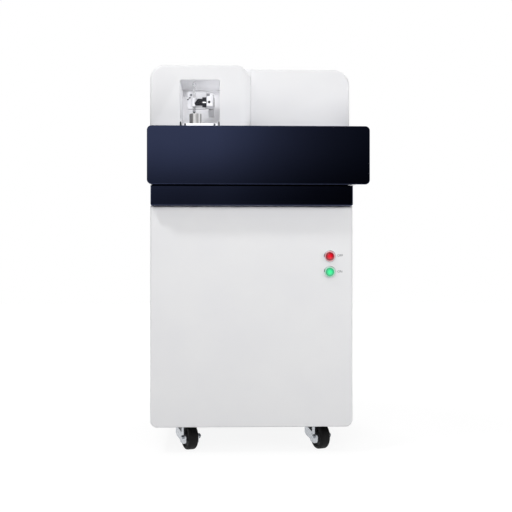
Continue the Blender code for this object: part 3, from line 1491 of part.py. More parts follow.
def make_fans():
    """Two fans behind the rear panel's grilles, their struts on the side away from it."""
    frame = fan_frame_shape()
    rotor = fan_rotor_shape()
    inner_face = REAR_INNER - SEAT - FAN_DEPTH
    for name, side in (("left_fan", -1), ("right_fan", 1)):
        matrix = Matrix.Translation((side * FAN_X, inner_face, FAN_Z)) @ FACE_BACK
        copy_of(frame, name + "_frame", matrix, "black_plastic")
        copy_of(rotor, name + "_rotor", matrix, "black_plastic")
    for shape in (frame, rotor):
        bpy.data.objects.remove(shape, do_unlink=True)


def inlet_pins():
    """Corners of the three flat pins in the mains socket."""
    floor = CABINET_DEPTH + SEAT + INLET_FLANGE - SOCKET_DEPTH
    middle = INLET_Z - SOCKET_DROP + PIN_RISE
    corners = []
    for column in (-1, 0, 1):
        x = INLET_X + column * PIN_PITCH
        z = middle + (PIN_EARTH_RISE if column == 0 else 0)
        low = (x - PIN_THICKNESS / 2, floor - SHEET / 2, z - PIN_WIDTH / 2)
        high = (x + PIN_THICKNESS / 2, floor + PIN_LENGTH, z + PIN_WIDTH / 2)
        corners.append((low, high))
    return corners


def make_mains_inlet():
    """The inlet module: a flange, a body through the panel, the socket and the switch's well."""
    flange_front = CABINET_DEPTH + SEAT
    flange_face = flange_front + INLET_FLANGE
    half = INLET_WIDTH / 2
    tall = INLET_HEIGHT / 2
    radii = (INLET_CORNER,) * 4
    outline = rounded_outline(INLET_X - half, INLET_X + half, INLET_Z - tall, INLET_Z + tall, radii, 4)
    inlet = prism("inlet_shape", outline, flange_front, flange_face)
    margin = INLET_BODY_MARGIN
    body = block(
        "inlet_body",
        (INLET_X - half + margin, flange_face - INLET_DEPTH, INLET_Z - tall + margin),
        (INLET_X + half - margin, flange_face - INLET_FLANGE / 2, INLET_Z + tall - margin),
    )
    join(inlet, body)
    socket_z = INLET_Z - SOCKET_DROP
    corner = SOCKET_CORNER
    socket_half = SOCKET_WIDTH / 2
    socket_tall = SOCKET_HEIGHT / 2
    socket_outline = [
        (INLET_X - socket_half, socket_z - socket_tall),
        (INLET_X + socket_half, socket_z - socket_tall),
        (INLET_X + socket_half, socket_z + socket_tall - corner),
        (INLET_X + socket_half - corner, socket_z + socket_tall),
        (INLET_X - socket_half + corner, socket_z + socket_tall),
        (INLET_X - socket_half, socket_z + socket_tall - corner),
    ]
    socket = prism("inlet_socket", socket_outline, flange_face - SOCKET_DEPTH, flange_face + OVERRUN)
    switch_z = INLET_Z + SWITCH_RISE
    well = block(
        "switch_well",
        (INLET_X - SWITCH_WIDTH / 2, flange_face - SWITCH_WELL, switch_z - SWITCH_HEIGHT / 2),
        (INLET_X + SWITCH_WIDTH / 2, flange_face + OVERRUN, switch_z + SWITCH_HEIGHT / 2),
    )
    cut(inlet, socket, well)
    join(inlet, blocks("inlet_pins", inlet_pins()))
    as_part(inlet, "mains_inlet", "black_plastic")


def make_mains_switch():
    """The rocker: two flat halves that meet in a shallow valley, tilted to its off side."""
    pivot_y = CABINET_DEPTH + SEAT + INLET_FLANGE - SWITCH_BACK / 2
    pivot_z = INLET_Z + SWITCH_RISE
    half = SWITCH_HEIGHT / 2 - 2 * SWITCH_SIDE_GAP
    back = SWITCH_BACK
    proud = SWITCH_PROUD
    narrow_share = 0.45
    valley_share = 0.55
    outline = [
        (-back, -half * narrow_share),
        (proud * (1 - valley_share), -half),
        (proud, -half),
        (proud * valley_share, 0),
        (proud, half),
        (proud * (1 - valley_share), half),
        (-back, half * narrow_share),
    ]
    turn = Matrix.Rotation(SWITCH_TILT, 2)
    tilted = [tuple(turn @ Vector(point)) for point in outline]
    placed = [(pivot_y + y, pivot_z + z) for y, z in tilted]
    wide = SWITCH_WIDTH / 2 - SWITCH_SIDE_GAP
    rocker = prism("rocker_shape", list(reversed(placed)), INLET_X - wide, INLET_X + wide, "side")
    with_origin(rocker, (INLET_X, pivot_y, pivot_z))
    as_part(rocker, "mains_switch", "black_plastic")


def make_argon_inlet():
    """The brass gas fitting: nut behind the panel, stem through it, hexagon and tube outside."""
    stem = ARGON_STEM / 2
    base = (ARGON_X, CABINET_DEPTH, ARGON_Z)
    fitting = cylinder(
        "argon_stem", 2 * stem, -SHEET - SEAT - ARGON_NUT - OVERRUN, SEAT + ARGON_HEX_LENGTH / 2,
        base, FACE_BACK, 24,
    )
    hexagon = cylinder(
        "argon_hex", ARGON_HEX, SEAT, SEAT + ARGON_HEX_LENGTH, base, FACE_BACK, 6,
    )
    nut = cylinder(
        "argon_nut", ARGON_HEX, -SHEET - SEAT - ARGON_NUT, -SHEET - SEAT, base, FACE_BACK, 6,
    )
    pipe = cylinder(
        "argon_tube", ARGON_TUBE, ARGON_HEX_LENGTH / 2, ARGON_REACH, base, FACE_BACK, 20,
    )
    bore = cylinder(
        "argon_bore", ARGON_TUBE_BORE, ARGON_HEX_LENGTH, ARGON_REACH + OVERRUN, base, FACE_BACK, 16,
    )
    cut(join(fitting, hexagon, nut, pipe), bore)
    as_part(fitting, "argon_inlet", "brass", smooth=True)


def make_data_socket():
    """The network socket, with a shallow recess and a rim on the panel."""
    half = DATA_WIDTH / 2
    tall = DATA_HEIGHT / 2
    face = CABINET_DEPTH + SEAT + DATA_FLANGE
    socket = block(
        "data_shape",
        (DATA_X - half, face - DATA_DEPTH, ARGON_Z - tall),
        (DATA_X + half, face, ARGON_Z + tall),
    )
    rim = block(
        "data_rim",
        (DATA_X - half - DATA_RIM, CABINET_DEPTH + SEAT, ARGON_Z - tall - DATA_RIM),
        (DATA_X + half + DATA_RIM, face, ARGON_Z + tall + DATA_RIM),
    )
    recess = block(
        "data_recess",
        (DATA_X - half + DATA_RIM, face - DATA_RECESS, ARGON_Z - tall + DATA_RIM),
        (DATA_X + half - DATA_RIM, face + OVERRUN, ARGON_Z + tall - DATA_RIM),
    )
    as_part(cut(join(socket, rim), recess), "data_socket", "black_plastic")


def make_button(colour, height):
    """A push button: the chromed bezel with its barrel, and the cap with its stem."""
    centre = (BUTTON_X, 0, height)
    flange = BUTTON_BEZEL / 2
    reach = BUTTON_BEZEL_REACH
    edge = BUTTON_BEZEL_EDGE
    barrel = BUTTON_BARREL / 2
    well = BUTTON_CAP / 2 + SEAT
    bore = barrel - BUTTON_WALL
    well_floor = BUTTON_WALL
    bottom = -BUTTON_BARREL_DEPTH
    well_end = bottom + BUTTON_WALL
    profile = [
        (well, reach), (flange - edge, reach), (flange, reach - edge), (flange, SEAT),
        (barrel, SEAT), (barrel, bottom), (0, bottom),
    ]
    inside = [(0, well_end), (bore, well_end), (bore, well_floor), (well, well_floor)]
    bezel = turned(
        colour + "_bezel_shape", [*profile, *inside, (well, reach)], centre, FACE_FRONT, 26,
    )
    as_part(bezel, colour + "_button_bezel", "chrome", smooth=True)
    cap = BUTTON_CAP / 2
    top = BUTTON_CAP_REACH
    under = top - BUTTON_CAP_THICKNESS
    crown = BUTTON_CAP_THICKNESS / 4
    cap_profile = [
        (0, top), (cap * BUTTON_CROWN_SHARE, top - crown / 4),
        (cap - crown, top - crown), (cap, top - 2 * crown),
        (cap, under), (BUTTON_STEM / 2, under),
        (BUTTON_STEM / 2, under - BUTTON_STEM_LENGTH), (0, under - BUTTON_STEM_LENGTH),
    ]
    head = turned(colour + "_cap_shape", cap_profile, centre, FACE_FRONT, 24)
    with_origin(head, centre)
    as_part(head, colour + "_button_cap", colour + "_plastic", smooth=True)


def castor_plate_shape():
    """The top plate with its race and kingpin, about the swivel axis."""
    half = CASTOR_PLATE_WIDTH / 2
    long_half = CASTOR_PLATE_LENGTH / 2
    radii = (CASTOR_PLATE_CORNER,) * 4
    outline = rounded_outline(-half, half, -long_half, long_half, radii, 3)
    plate_bottom = CASTOR_HEIGHT - CASTOR_PLATE
    plate = prism("castor_plate_shape", outline, plate_bottom, CASTOR_HEIGHT, "plan")
    race_bottom = plate_bottom - RACE_HEIGHT
    crown_bottom = race_bottom - RUNNING_GAP - CROWN_HEIGHT
    head_top = crown_bottom - RUNNING_GAP
    race = RACE_DIAMETER / 2
    pin = KINGPIN_DIAMETER / 2
    head = KINGPIN_HEAD / 2
    lip = CASTOR_PLATE / 2
    profile = [
        (0, plate_bottom + lip), (race - lip, plate_bottom + lip), (race, plate_bottom - lip),
        (race, race_bottom), (pin, race_bottom), (pin, head_top), (head, head_top),
        (head, head_top - KINGPIN_HEAD_HEIGHT), (0, head_top - KINGPIN_HEAD_HEIGHT),
    ]
    join(plate, turned("castor_race", profile, (0, 0, 0), steps=18))
    return with_origin(plate, (0, 0, 0))


def castor_fork_shape():
    """The swivelling fork with its axle bolt: local -Y is the way it trails."""
    crown_top = CASTOR_HEIGHT - CASTOR_PLATE - RACE_HEIGHT - RUNNING_GAP
    crown_bottom = crown_top - CROWN_HEIGHT
    axle_z = WHEEL_DIAMETER / 2
    foot = FORK_FOOT_RADIUS
    half = FORK_TOP_HALF_DEPTH
    fork = cylinder("fork_crown", CROWN_DIAMETER, crown_bottom, crown_top, (0, 0, 0), sides=24)
    inner = WHEEL_WIDTH / 2 + FORK_GAP
    outer = inner + FORK_LEG
    leg_outline = [
        (half, crown_top),
        (-half, crown_top),
        *arc(-CASTOR_TRAIL, axle_z, foot, 2, 4, 6),
    ]
    for side, low, high in (("left", -outer, -inner), ("right", inner, outer)):
        join(fork, prism(f"fork_leg_{side}", leg_outline, low, high, "side"))
    skirt_depth = 2 * CROWN_HEIGHT
    ring = cylinder("fork_skirt", CROWN_DIAMETER, crown_top - skirt_depth, crown_top, (0, 0, 0), sides=24)
    opening = cylinder(
        "fork_skirt_bore", CROWN_DIAMETER - 2 * FORK_LEG, crown_top - skirt_depth - OVERRUN,
        crown_bottom, (0, 0, 0), sides=24,
    )
    join(fork, cut(ring, opening))
    kingpin_hole = cylinder(
        "kingpin_hole", KINGPIN_DIAMETER + 2 * RUNNING_GAP, crown_bottom - OVERRUN,
        crown_top + OVERRUN, (0, 0, 0), sides=16,
    )
    cut(fork, kingpin_hole)
    centre = (0, -CASTOR_TRAIL, axle_z)
    reach = outer + AXLE_NUT_LENGTH
    axle = cylinder("axle", AXLE_DIAMETER, -reach - AXLE_END, reach + AXLE_END, centre, FACE_RIGHT, 14)
    join(fork, axle)
    for side, low, high in (
        ("left", -reach, -outer + FORK_LEG / 2),
        ("right", outer - FORK_LEG / 2, reach),
    ):
        join(fork, cylinder(f"axle_nut_{side}", AXLE_NUT, low, high, centre, FACE_RIGHT, 6))
    return frozen(fork)


def castor_wheel_shape():
    """The wheel about local X: rounded tyre, dished sides and a hub with its bore.

    Its facets touch the true circle, and one of them lies flat on the floor.
    """
    half_step = math.pi / WHEEL_STEPS
    radius = WHEEL_DIAMETER / 2 / math.cos(half_step)
    half = WHEEL_WIDTH / 2
    rim = radius - WHEEL_TYRE
    dish = half - WHEEL_DISH
    hub = WHEEL_HUB / 2
    bore = AXLE_DIAMETER / 2 + RUNNING_GAP
    outer_edge = [(u, v) for v, u in arc(half - WHEEL_ROUND, radius - WHEEL_ROUND, WHEEL_ROUND, 1, 0, 2)]
    lower_edge = [(u, -v) for u, v in reversed(outer_edge)]
    profile = [
        (rim, half),
        *outer_edge,
        *lower_edge,
        (rim, -half),
        (rim - WHEEL_DISH / 2, -dish),
        (hub + WHEEL_DISH / 2, -dish),
        (hub, -half),
        (bore, -half),
        (bore, half),
        (hub, half),
        (hub + WHEEL_DISH / 2, dish),
        (rim - WHEEL_DISH / 2, dish),
    ]
    wheel = turned("castor_wheel_shape", profile, (0, 0, 0), steps=WHEEL_STEPS, closed=True)
    mesh = frozen(wheel).data
    mesh.transform(FACE_RIGHT @ Matrix.Rotation(half_step, 4, "Z"))
    return wheel


def make_castors():
    """Four swivel castors, all standing at the same swivel angle."""
    plate = castor_plate_shape()
    fork = castor_fork_shape()
    wheel = castor_wheel_shape()
    smooth_round(fork)
    smooth_round(wheel)
    turn = Matrix.Rotation(CASTOR_TURN, 4, "Z")
    axle = Matrix.Translation((0, -CASTOR_TRAIL, WHEEL_DIAMETER / 2))
    for name, x, y in (
        ("front_left", -CASTOR_X, CASTOR_FRONT_Y),
        ("front_right", CASTOR_X, CASTOR_FRONT_Y),
        ("rear_left", -CASTOR_X, CASTOR_REAR_Y),
        ("rear_right", CASTOR_X, CASTOR_REAR_Y),
    ):
        swivel = Matrix.Translation((x, y, 0))
        copy_of(plate, name + "_castor_plate", swivel, "zinc_plated_steel")
        copy_of(fork, name + "_castor_fork", swivel @ turn, "zinc_plated_steel")
        copy_of(wheel, name + "_castor_wheel", swivel @ turn @ axle, "black_rubber")
    for shape in (plate, fork, wheel):
        bpy.data.objects.remove(shape, do_unlink=True)


def main():
    make_base_pan()
    make_mid_shelf()
    make_side_panel("left_side_panel", -1, NOSE_FRONT)
    make_side_panel("right_side_panel", 1, COVER_FRONT)
    make_front_panel()
    make_rear_panel()
    make_waist_band()
    make_desk_body()
    make_top_deck()
    make_spark_pod()
    make_optics_cover()
    make_alcove_liner()
    make_spark_chamber()
    make_table_plate()
    make_guide_strips()
    make_electrode()
    make_stand_column()
    make_test_sample()
    make_clamp_bracket()
    make_clamp_pivot_pin()
    make_clamp_head()
    make_clamp_arm()
    make_clamp_rod()
    make_pressure_tip()
    make_clamp_spring()
    make_lock_lever()
    make_light_pipe()
    make_optical_chamber()
    make_detector_board()
    make_power_supply()
    make_spark_source()
    make_control_board()
    make_argon_valve_block()
    make_fans()
    make_mains_inlet()
    make_mains_switch()
    make_argon_inlet()
    make_data_socket()
    make_button("red", RED_BUTTON_Z)
    make_button("green", GREEN_BUTTON_Z)
    make_castors()


main()
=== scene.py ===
"""The finish of the optical emission spectrometer: its painted hoods and worktop, the sample
clamp in the alcove, the lit push buttons, the castors, and the fittings on its back.

Lengths are metres. CABINET_X and FRONT_Y carry the cabinet's own axes over to the frame: x is
counted from the cabinet's middle, y backwards from the face of the lower front panel.
"""

import json
import math

import bpy
import numpy as np
from mathutils import Matrix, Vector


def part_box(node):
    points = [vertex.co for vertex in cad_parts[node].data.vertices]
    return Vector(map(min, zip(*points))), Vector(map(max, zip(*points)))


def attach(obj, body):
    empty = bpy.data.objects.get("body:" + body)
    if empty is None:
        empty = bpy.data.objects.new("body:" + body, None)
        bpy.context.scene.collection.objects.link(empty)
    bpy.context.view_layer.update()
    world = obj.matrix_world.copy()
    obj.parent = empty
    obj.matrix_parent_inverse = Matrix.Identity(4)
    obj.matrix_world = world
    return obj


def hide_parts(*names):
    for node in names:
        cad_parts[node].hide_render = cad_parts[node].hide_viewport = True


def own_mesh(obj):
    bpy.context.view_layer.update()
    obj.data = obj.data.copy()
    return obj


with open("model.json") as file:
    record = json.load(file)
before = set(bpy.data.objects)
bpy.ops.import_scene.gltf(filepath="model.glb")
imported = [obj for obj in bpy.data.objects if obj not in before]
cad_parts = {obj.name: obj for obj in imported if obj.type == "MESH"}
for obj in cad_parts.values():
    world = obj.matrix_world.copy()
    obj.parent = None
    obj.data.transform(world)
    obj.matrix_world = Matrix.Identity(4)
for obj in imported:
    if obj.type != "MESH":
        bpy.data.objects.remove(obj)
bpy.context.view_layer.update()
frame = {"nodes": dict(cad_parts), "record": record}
NODES = frame["nodes"]

MM = 0.001
PANEL_LOW, PANEL_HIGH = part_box("front_panel")
CABINET_X = (PANEL_LOW.x + PANEL_HIGH.x) / 2
FRONT_Y = PANEL_LOW.y


def box_of(node):
    """Low and high corners of a node, as arrays in the cabinet's own axes."""
    low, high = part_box(node)
    shift = np.array((CABINET_X, FRONT_Y, 0))
    return np.array(low) - shift, np.array(high) - shift


def middle_of(node):
    low, high = box_of(node)
    return (low + high) / 2


# Materials

def linear(hex_code):
    """An sRGB hex colour as linear red, green, blue and an alpha of one."""
    channels = [int(hex_code[i : i + 2], 16) / 255 for i in (0, 2, 4)]
    return (*[c / 12.92 if c <= 0.04045 else ((c + 0.055) / 1.055) ** 2.4 for c in channels], 1)


def add_node(tree, kind, inputs=None, **settings):
    """Add a node, set its settings, and give each named input a value or a link."""
    node = tree.nodes.new(kind)
    for name, value in settings.items():
        setattr(node, name, value)
    for name, value in (inputs or {}).items():
        if isinstance(value, bpy.types.NodeSocket):
            tree.links.new(value, node.inputs[name])
        else:
            node.inputs[name].default_value = value
    return node


def math_node(tree, operation, first, second=0.0):
    return add_node(tree, "ShaderNodeMath", {0: first, 1: second}, operation=operation).outputs["Value"]


def between(tree, value, low, high, start=0.0, end=1.0, kind="SMOOTHSTEP"):
    """Map a value from the range low to high to the range start to end, and hold it beyond."""
    inputs = {"Value": value, "From Min": low, "From Max": high, "To Min": start, "To Max": end}
    return add_node(tree, "ShaderNodeMapRange", inputs, interpolation_type=kind).outputs["Result"]


def mixed(tree, share, first, second):
    return add_node(tree, "ShaderNodeMix", {"Factor": share, "A": first, "B": second}).outputs["Result"]


class Surface:
    """A Principled material in the making: constant sockets, textures in Object coordinates."""

    def __init__(self, name, **sockets):
        self.material = bpy.data.materials.new(name)
        self.material.use_nodes = True
        self.tree = self.material.node_tree
        self.shader = self.tree.nodes["Principled BSDF"]
        for socket, value in sockets.items():
            self.shader.inputs[socket.replace("_", " ")].default_value = value
        self.place = add_node(self.tree, "ShaderNodeTexCoord").outputs["Object"]

    def link(self, value, socket):
        self.tree.links.new(value, self.shader.inputs[socket])

    def mapping(self, **inputs):
        return add_node(self.tree, "ShaderNodeMapping", {"Vector": self.place, **inputs}).outputs["Vector"]

    def noise(self, size, detail=3.0, roughness=0.5, place=None):
        """Noise whose grains measure about size metres."""
        place = self.place if place is None else place
        inputs = {"Vector": place, "Scale": 1 / size, "Detail": detail, "Roughness": roughness}
        return add_node(self.tree, "ShaderNodeTexNoise", inputs).outputs["Fac"]

    def reach(self, place, across):
        """How far a place lies from the origin, counted only in the directions across."""
        flat = add_node(self.tree, "ShaderNodeVectorMath", {0: place, 1: across}, operation="MULTIPLY")
        inputs = {0: flat.outputs["Vector"]}
        return add_node(self.tree, "ShaderNodeVectorMath", inputs, operation="LENGTH").outputs["Value"]

    def colour(self, factor, stops):
        """Colour by a ramp of (position, hex colour) stops. Gives the ramp's colour."""
        node = add_node(self.tree, "ShaderNodeValToRGB", {"Fac": factor})
        elements = node.color_ramp.elements
        while len(elements) < len(stops):
            elements.new(0.5)
        for element, (position, hex_code) in zip(elements, stops, strict=True):
            element.position = position
            element.color = linear(hex_code)
        self.link(node.outputs["Color"], "Base Color")
        return node.outputs["Color"]

    def cloud(self, factor, dark, light):
        self.colour(factor, ((0.3, dark), (0.7, light)))

    def roughen(self, factor, low, high):
        """Roughness from low to high, as the factor goes from nought to one."""
        self.link(between(self.tree, factor, 0.0, 1.0, low, high, "LINEAR"), "Roughness")

    def bump(self, height, distance, strength=1.0):
        """The last step: bump the surface. Gives the material."""
        inputs = {"Height": height, "Distance": distance, "Strength": strength}
        self.link(add_node(self.tree, "ShaderNodeBump", inputs).outputs["Normal"], "Normal")
        return self.material


def powder_coat(name, light, shade, rough):
    """Powder coat, sprayed dry and baked: satin, with a fine orange peel and faint clouds."""
    coat = Surface(name, Specular_IOR_Level=0.45)
    coat.cloud(coat.noise(140 * MM, 2), shade, light)
    peel = coat.noise(1.6 * MM, 2)
    coat.roughen(peel, rough - 0.04, rough + 0.04)
    return coat.bump(peel, 0.025 * MM, 0.6)


def gloss_enamel():
    """Baked navy enamel with fine metal flake: its depth comes from soft, tinted reflections."""
    enamel = Surface("navy_gloss_enamel", Metallic=1.0, Roughness=0.08, Specular_IOR_Level=0.5)
    enamel.cloud(enamel.noise(220 * MM, 2), "31374F", "343B55")
    return enamel.bump(enamel.noise(6 * MM, 1), 0.012 * MM, 0.4)


def plated(name, light, dark, rough, grain):
    """Electroplated steel: bright metal with faint clouding from the plating bath."""
    plate = Surface(name, Metallic=1.0)
    plate.cloud(plate.noise(grain, 4), dark, light)
    fine = plate.noise(grain / 8)
    plate.roughen(fine, rough * 0.8, rough * 1.25)
    return plate.bump(fine, 0.01 * MM, 0.4)


def ground_steel(name, light, dark, rough, stretch, metal=1.0):
    """Ground steel: fine parallel scratches, long along the axis with the small stretch."""
    steel = Surface(name, Metallic=metal)
    scratches = steel.noise(0.5 * MM, 3, 0.6, steel.mapping(Scale=stretch))
    steel.cloud(scratches, dark, light)
    steel.roughen(scratches, rough * 0.75, rough * 1.3)
    return steel.bump(scratches, 0.012 * MM, 0.5)


def lathe_turned_painted_reflections(name, light, middle, dark, centre, radius):
    """Lathe-turned steel: fine rings from the tool, and upright light and dark bands painted into its colour
    across its width, as painted reflections of what a bright round mirrors.
    """
    steel = Surface(name, Metallic=0.8)
    place = steel.mapping(Location=tuple(-c for c in centre))
    pitch = 0.34 * MM
    turns = math_node(steel.tree, "MULTIPLY", steel.reach(place, (1, 1, 0)), math.tau / pitch)
    across = add_node(steel.tree, "ShaderNodeSeparateXYZ", {"Vector": place}).outputs["X"]
    share = between(steel.tree, across, -radius, radius, kind="LINEAR")
    # Painted reflection: upright light and dark bands across the disc's width, set into the base colour.
    steel.colour(share, (
        (0.0, light), (0.08, dark), (0.28, dark), (0.36, light), (0.58, light), (0.66, middle),
        (0.76, middle), (0.82, light), (0.90, light), (0.94, dark), (1.0, light),
    ))
    steel.roughen(share, 0.26, 0.32)
    return steel.bump(math_node(steel.tree, "SINE", turns), 0.006 * MM, 0.5)


def moulded(name, light, dark, rough, texture, shine=0.5):
    """Injection-moulded plastic with the fine spark-eroded texture of its mould."""
    plastic = Surface(name, Specular_IOR_Level=shine)
    plastic.cloud(plastic.noise(30 * MM, 2), dark, light)
    grit = plastic.noise(texture)
    plastic.roughen(grit, rough - 0.06, rough + 0.08)
    return plastic.bump(grit, 0.04 * MM, 0.6)


def lit_lens(name, centre, middle, edge, glow):
    """Clear moulded cap over a small lamp: brightest at the middle and deep at its rim."""
    lens = Surface(name, Roughness=0.16, Coat_Weight=0.7, Coat_Roughness=0.04, Emission_Strength=glow)
    reach = lens.reach(lens.mapping(Location=tuple(-c for c in centre)), (1, 0, 1))
    share = math_node(lens.tree, "DIVIDE", reach, 12 * MM)
    lens.link(lens.colour(share, ((0.25, middle), (0.95, edge))), "Emission Color")
    return lens.bump(lens.noise(4 * MM, 1), 0.02 * MM, 0.4)


def cast_metal():
    """Sand-cast aluminium, blasted: dull grey with a granular skin."""
    cast = Surface("sand_cast_aluminium", Metallic=0.9)
    grains = cast.noise(1.2 * MM, 4)
    cast.cloud(grains, "85878A", "A6A8AA")
    cast.roughen(grains, 0.42, 0.6)
    return cast.bump(grains, 0.08 * MM, 0.6)


def galvanised():
    """Hot-dip galvanised sheet: zinc spangles about a centimetre wide."""
    sheet = Surface("galvanised_sheet", Metallic=0.9)
    inputs = {"Vector": sheet.place, "Scale": 1 / (11 * MM)}
    spangle = add_node(sheet.tree, "ShaderNodeTexVoronoi", inputs).outputs["Color"]
    tone = add_node(sheet.tree, "ShaderNodeRGBToBW", {"Color": spangle}).outputs["Val"]
    sheet.colour(tone, ((0.1, "8F9499"), (0.9, "B9BDC0")))
    sheet.roughen(tone, 0.30, 0.5)
    return sheet.material


def circuit_board():
    """Glass-fibre circuit board under green solder resist, with the weave just visible."""
    board = Surface("solder_resist_on_board", Roughness=0.35)
    inputs = {"Vector": board.place, "Scale": 1 / (0.8 * MM)}
    weave = add_node(board.tree, "ShaderNodeTexChecker", inputs)
    weave.inputs["Color1"].default_value = linear("0F4A26")
    weave.inputs["Color2"].default_value = linear("125530")
    board.link(weave.outputs["Color"], "Base Color")
    return board.bump(board.noise(2 * MM), 0.02 * MM)


def printed_ink():
    """Screen-printed dark grey ink, thin and slightly uneven."""
    ink = Surface("screen_printed_ink", Roughness=0.6)
    ink.colour(ink.noise(0.8 * MM, 2), ((0.2, "3C3E44"), (0.8, "55575E")))
    return ink.material


WHITE = powder_coat("white_powder_coat", "F2F2F3", "EFEFF1", 0.42)
LINER_WHITE = powder_coat("alcove_powder_coat", "EDEDEF", "E8E8EA", 0.50)
NAVY = gloss_enamel()
CHROME = plated("chromium_plate", "E8EAEC", "D4D7DA", 0.07, 9 * MM)
ZINC = plated("bright_zinc_plate", "D2D5D9", "A9ADB3", 0.24, 5 * MM)
SPRING = plated("oiled_spring_wire", "5C5D60", "3A3B3E", 0.32, 2 * MM)
GROUND = ground_steel("ground_steel", "C9C8C6", "A3A2A1", 0.26, (0.06, 1, 1))
BLACK = moulded("black_moulded_abs", "17171A", "101012", 0.42, 0.7 * MM)
RUBBER = moulded("black_castor_rubber", "0C0C0D", "070708", 0.62, 1.4 * MM, 0.22)
CERAMIC = moulded("white_alumina", "EFEDE6", "E4E1D8", 0.5, 0.5 * MM)
BRASS = plated("turned_brass", "D9BE7A", "B8985A", 0.24, 3 * MM)
TUNGSTEN = ground_steel("ground_tungsten", "77787A", "55565A", 0.4, (1, 1, 0.1))
CAST = cast_metal()
# Painted shade: the sample table's coat is a darker copy of the white powder coat, to hold down the lamp
# light on its front.
TABLE_SHADED_WHITE = powder_coat("table_powder_coat_painted_shade", "DFDFE2", "D9D9DD", 0.45)
ARM_WHITE = powder_coat("arm_powder_coat", "DEDEE2", "D9D9DE", 0.35)
BLOCK_STEEL = ground_steel("satin_nickel_on_steel", "DFDFE2", "C4C4CA", 0.34, (0.06, 1, 1), 0.35)
GIB_STEEL = ground_steel("browned_gib_steel", "85868B", "6C6D72", 0.4, (0.06, 1, 1), 0.4)
LEVER_BLACK = moulded("lever_nylon", "1B1C24", "121319", 0.30, 0.9 * MM)
SATIN_ROD = ground_steel("satin_chromed_rod", "E4E5E7", "D2D3D6", 0.26, (1, 1, 0.06), 0.6)
COIL = plated("bright_spring_wire", "B9BABD", "8E9094", 0.2, 2 * MM)
TABLE_SCREW = plated("browned_cap_screw", "77797D", "55575C", 0.3, 2 * MM)
NUT_STEEL = plated("dull_zinc_nut", "8D9096", "63666C", 0.3, 3 * MM)
WHEEL_CORE = moulded("wheel_core_nylon", "38383A", "2A2A2C", 0.5, 1.0 * MM, 0.3)
GALVANISED = galvanised()
BOARD = circuit_board()
INK = printed_ink()

# The materials of each slot. The first one is for the nodes that stay.
SLOTS = {
    "galvanised_sheet": [GALVANISED], "cast_aluminium": [CAST], "brass": [BRASS],
    "tungsten": [TUNGSTEN], "alumina_ceramic": [CERAMIC], "circuit_board": [BOARD],
    "castor_rubber": [RUBBER], "navy_gloss_paint": [NAVY], "chrome": [CHROME],
    "zinc_plated_steel": [ZINC, TABLE_SCREW, NUT_STEEL],
    "machined_steel": [GROUND, BLOCK_STEEL, SATIN_ROD],
    "spring_steel": [SPRING, GIB_STEEL, COIL],
    "black_plastic": [BLACK, LEVER_BLACK, WHEEL_CORE],
    "white_powder_coat": [WHITE, ARM_WHITE],
}
SLOT_OF = {material.name: slot for slot, group in SLOTS.items() for material in group}


# Surfaces worked out on grids

# Two directions across each axis, and its own. "front" is left-handed, y at right angles to x z.
AXES = {
    "z": np.array(((1, 0, 0), (0, 1, 0), (0, 0, 1)), float),
    "x": np.array(((0, 1, 0), (0, 0, 1), (1, 0, 0)), float),
    "y": np.array(((0, 0, 1), (1, 0, 0), (0, 1, 0)), float),
    "-y": np.array(((1, 0, 0), (0, 0, 1), (0, -1, 0)), float),
    "front": np.array(((1, 0, 0), (0, 0, 1), (0, 1, 0)), float),
}
SHARP = math.radians(32)
HAIR = 0.01 * MM
HEX_POINTS = 48


def lift(points):
    """Cabinet axes to the frame's axes."""
    return np.asarray(points, float) + np.array((CABINET_X, FRONT_Y, 0))


def make_piece(name, points, faces, material, body, replaces=(), smooth=True, slot=None, place=None):
    """A mesh object at the origin, riding on a body, with its place in its vertices."""
    if place:
        points = place(points)
    mesh = bpy.data.meshes.new(name)
    mesh.from_pydata(lift(points).tolist(), [], [list(face) for face in faces])
    mesh.update()
    mesh.shade_smooth()
    if not smooth:
        mesh.set_sharp_from_angle(angle=SHARP)
    piece = bpy.data.objects.new(name, mesh)
    bpy.context.scene.collection.objects.link(piece)
    mesh.materials.append(material)
    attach(piece, body)
    if replaces:
        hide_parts(*replaces)
    slot = slot or SLOT_OF[material.name]
    return piece


def ring_faces(rings, count, closed=True, first=0):
    """Quads between rings of count points, numbered one ring after another."""
    steps = np.arange(count if closed else count - 1)
    following = (steps + 1) % count
    faces = []
    for ring in range(rings - 1):
        low = first + ring * count
        high = low + count
        faces.append(np.stack([low + steps, low + following, high + following, high + steps], 1))
    return np.concatenate(faces).tolist()


def solid_faces(rings, count):
    """Quads between rings of count points, and a cap on the first ring and on the last."""
    last = (rings - 1) * count
    return [*ring_faces(rings, count), list(range(count))[::-1], list(range(last, last + count))]


def hoop_faces(rings, count):
    """Quads between rings of count points, and on from the last ring to the first."""
    total = rings * count
    return [[index % total for index in face] for face in ring_faces(rings + 1, count)]


def flipped(faces):
    return [face[::-1] for face in faces]


def even_angles(count):
    return np.linspace(0, math.tau, count, endpoint=False)


def eased(share):
    """s^2 (3 - 2 s), for a share s that is held between nought and one."""
    share = np.clip(share, 0, 1)
    return share**2 * (3 - 2 * share)


def upright(flat, y):
    """Points (x, z) stood up at depth y, one depth for all or one for each."""
    return np.column_stack([flat[:, 0], np.broadcast_to(y, len(flat)), flat[:, 1]])


def rectangle(left, right, low, high):
    """Four corners, anticlockwise from the lower left."""
    return [(left, low), (right, low), (right, high), (left, high)]


def arc(centre, reach, angles):
    """Points centre + (reach cos a, reach sin a), with a reach for each direction."""
    return np.array(centre) + np.stack([np.cos(angles), np.sin(angles)], 1) * reach


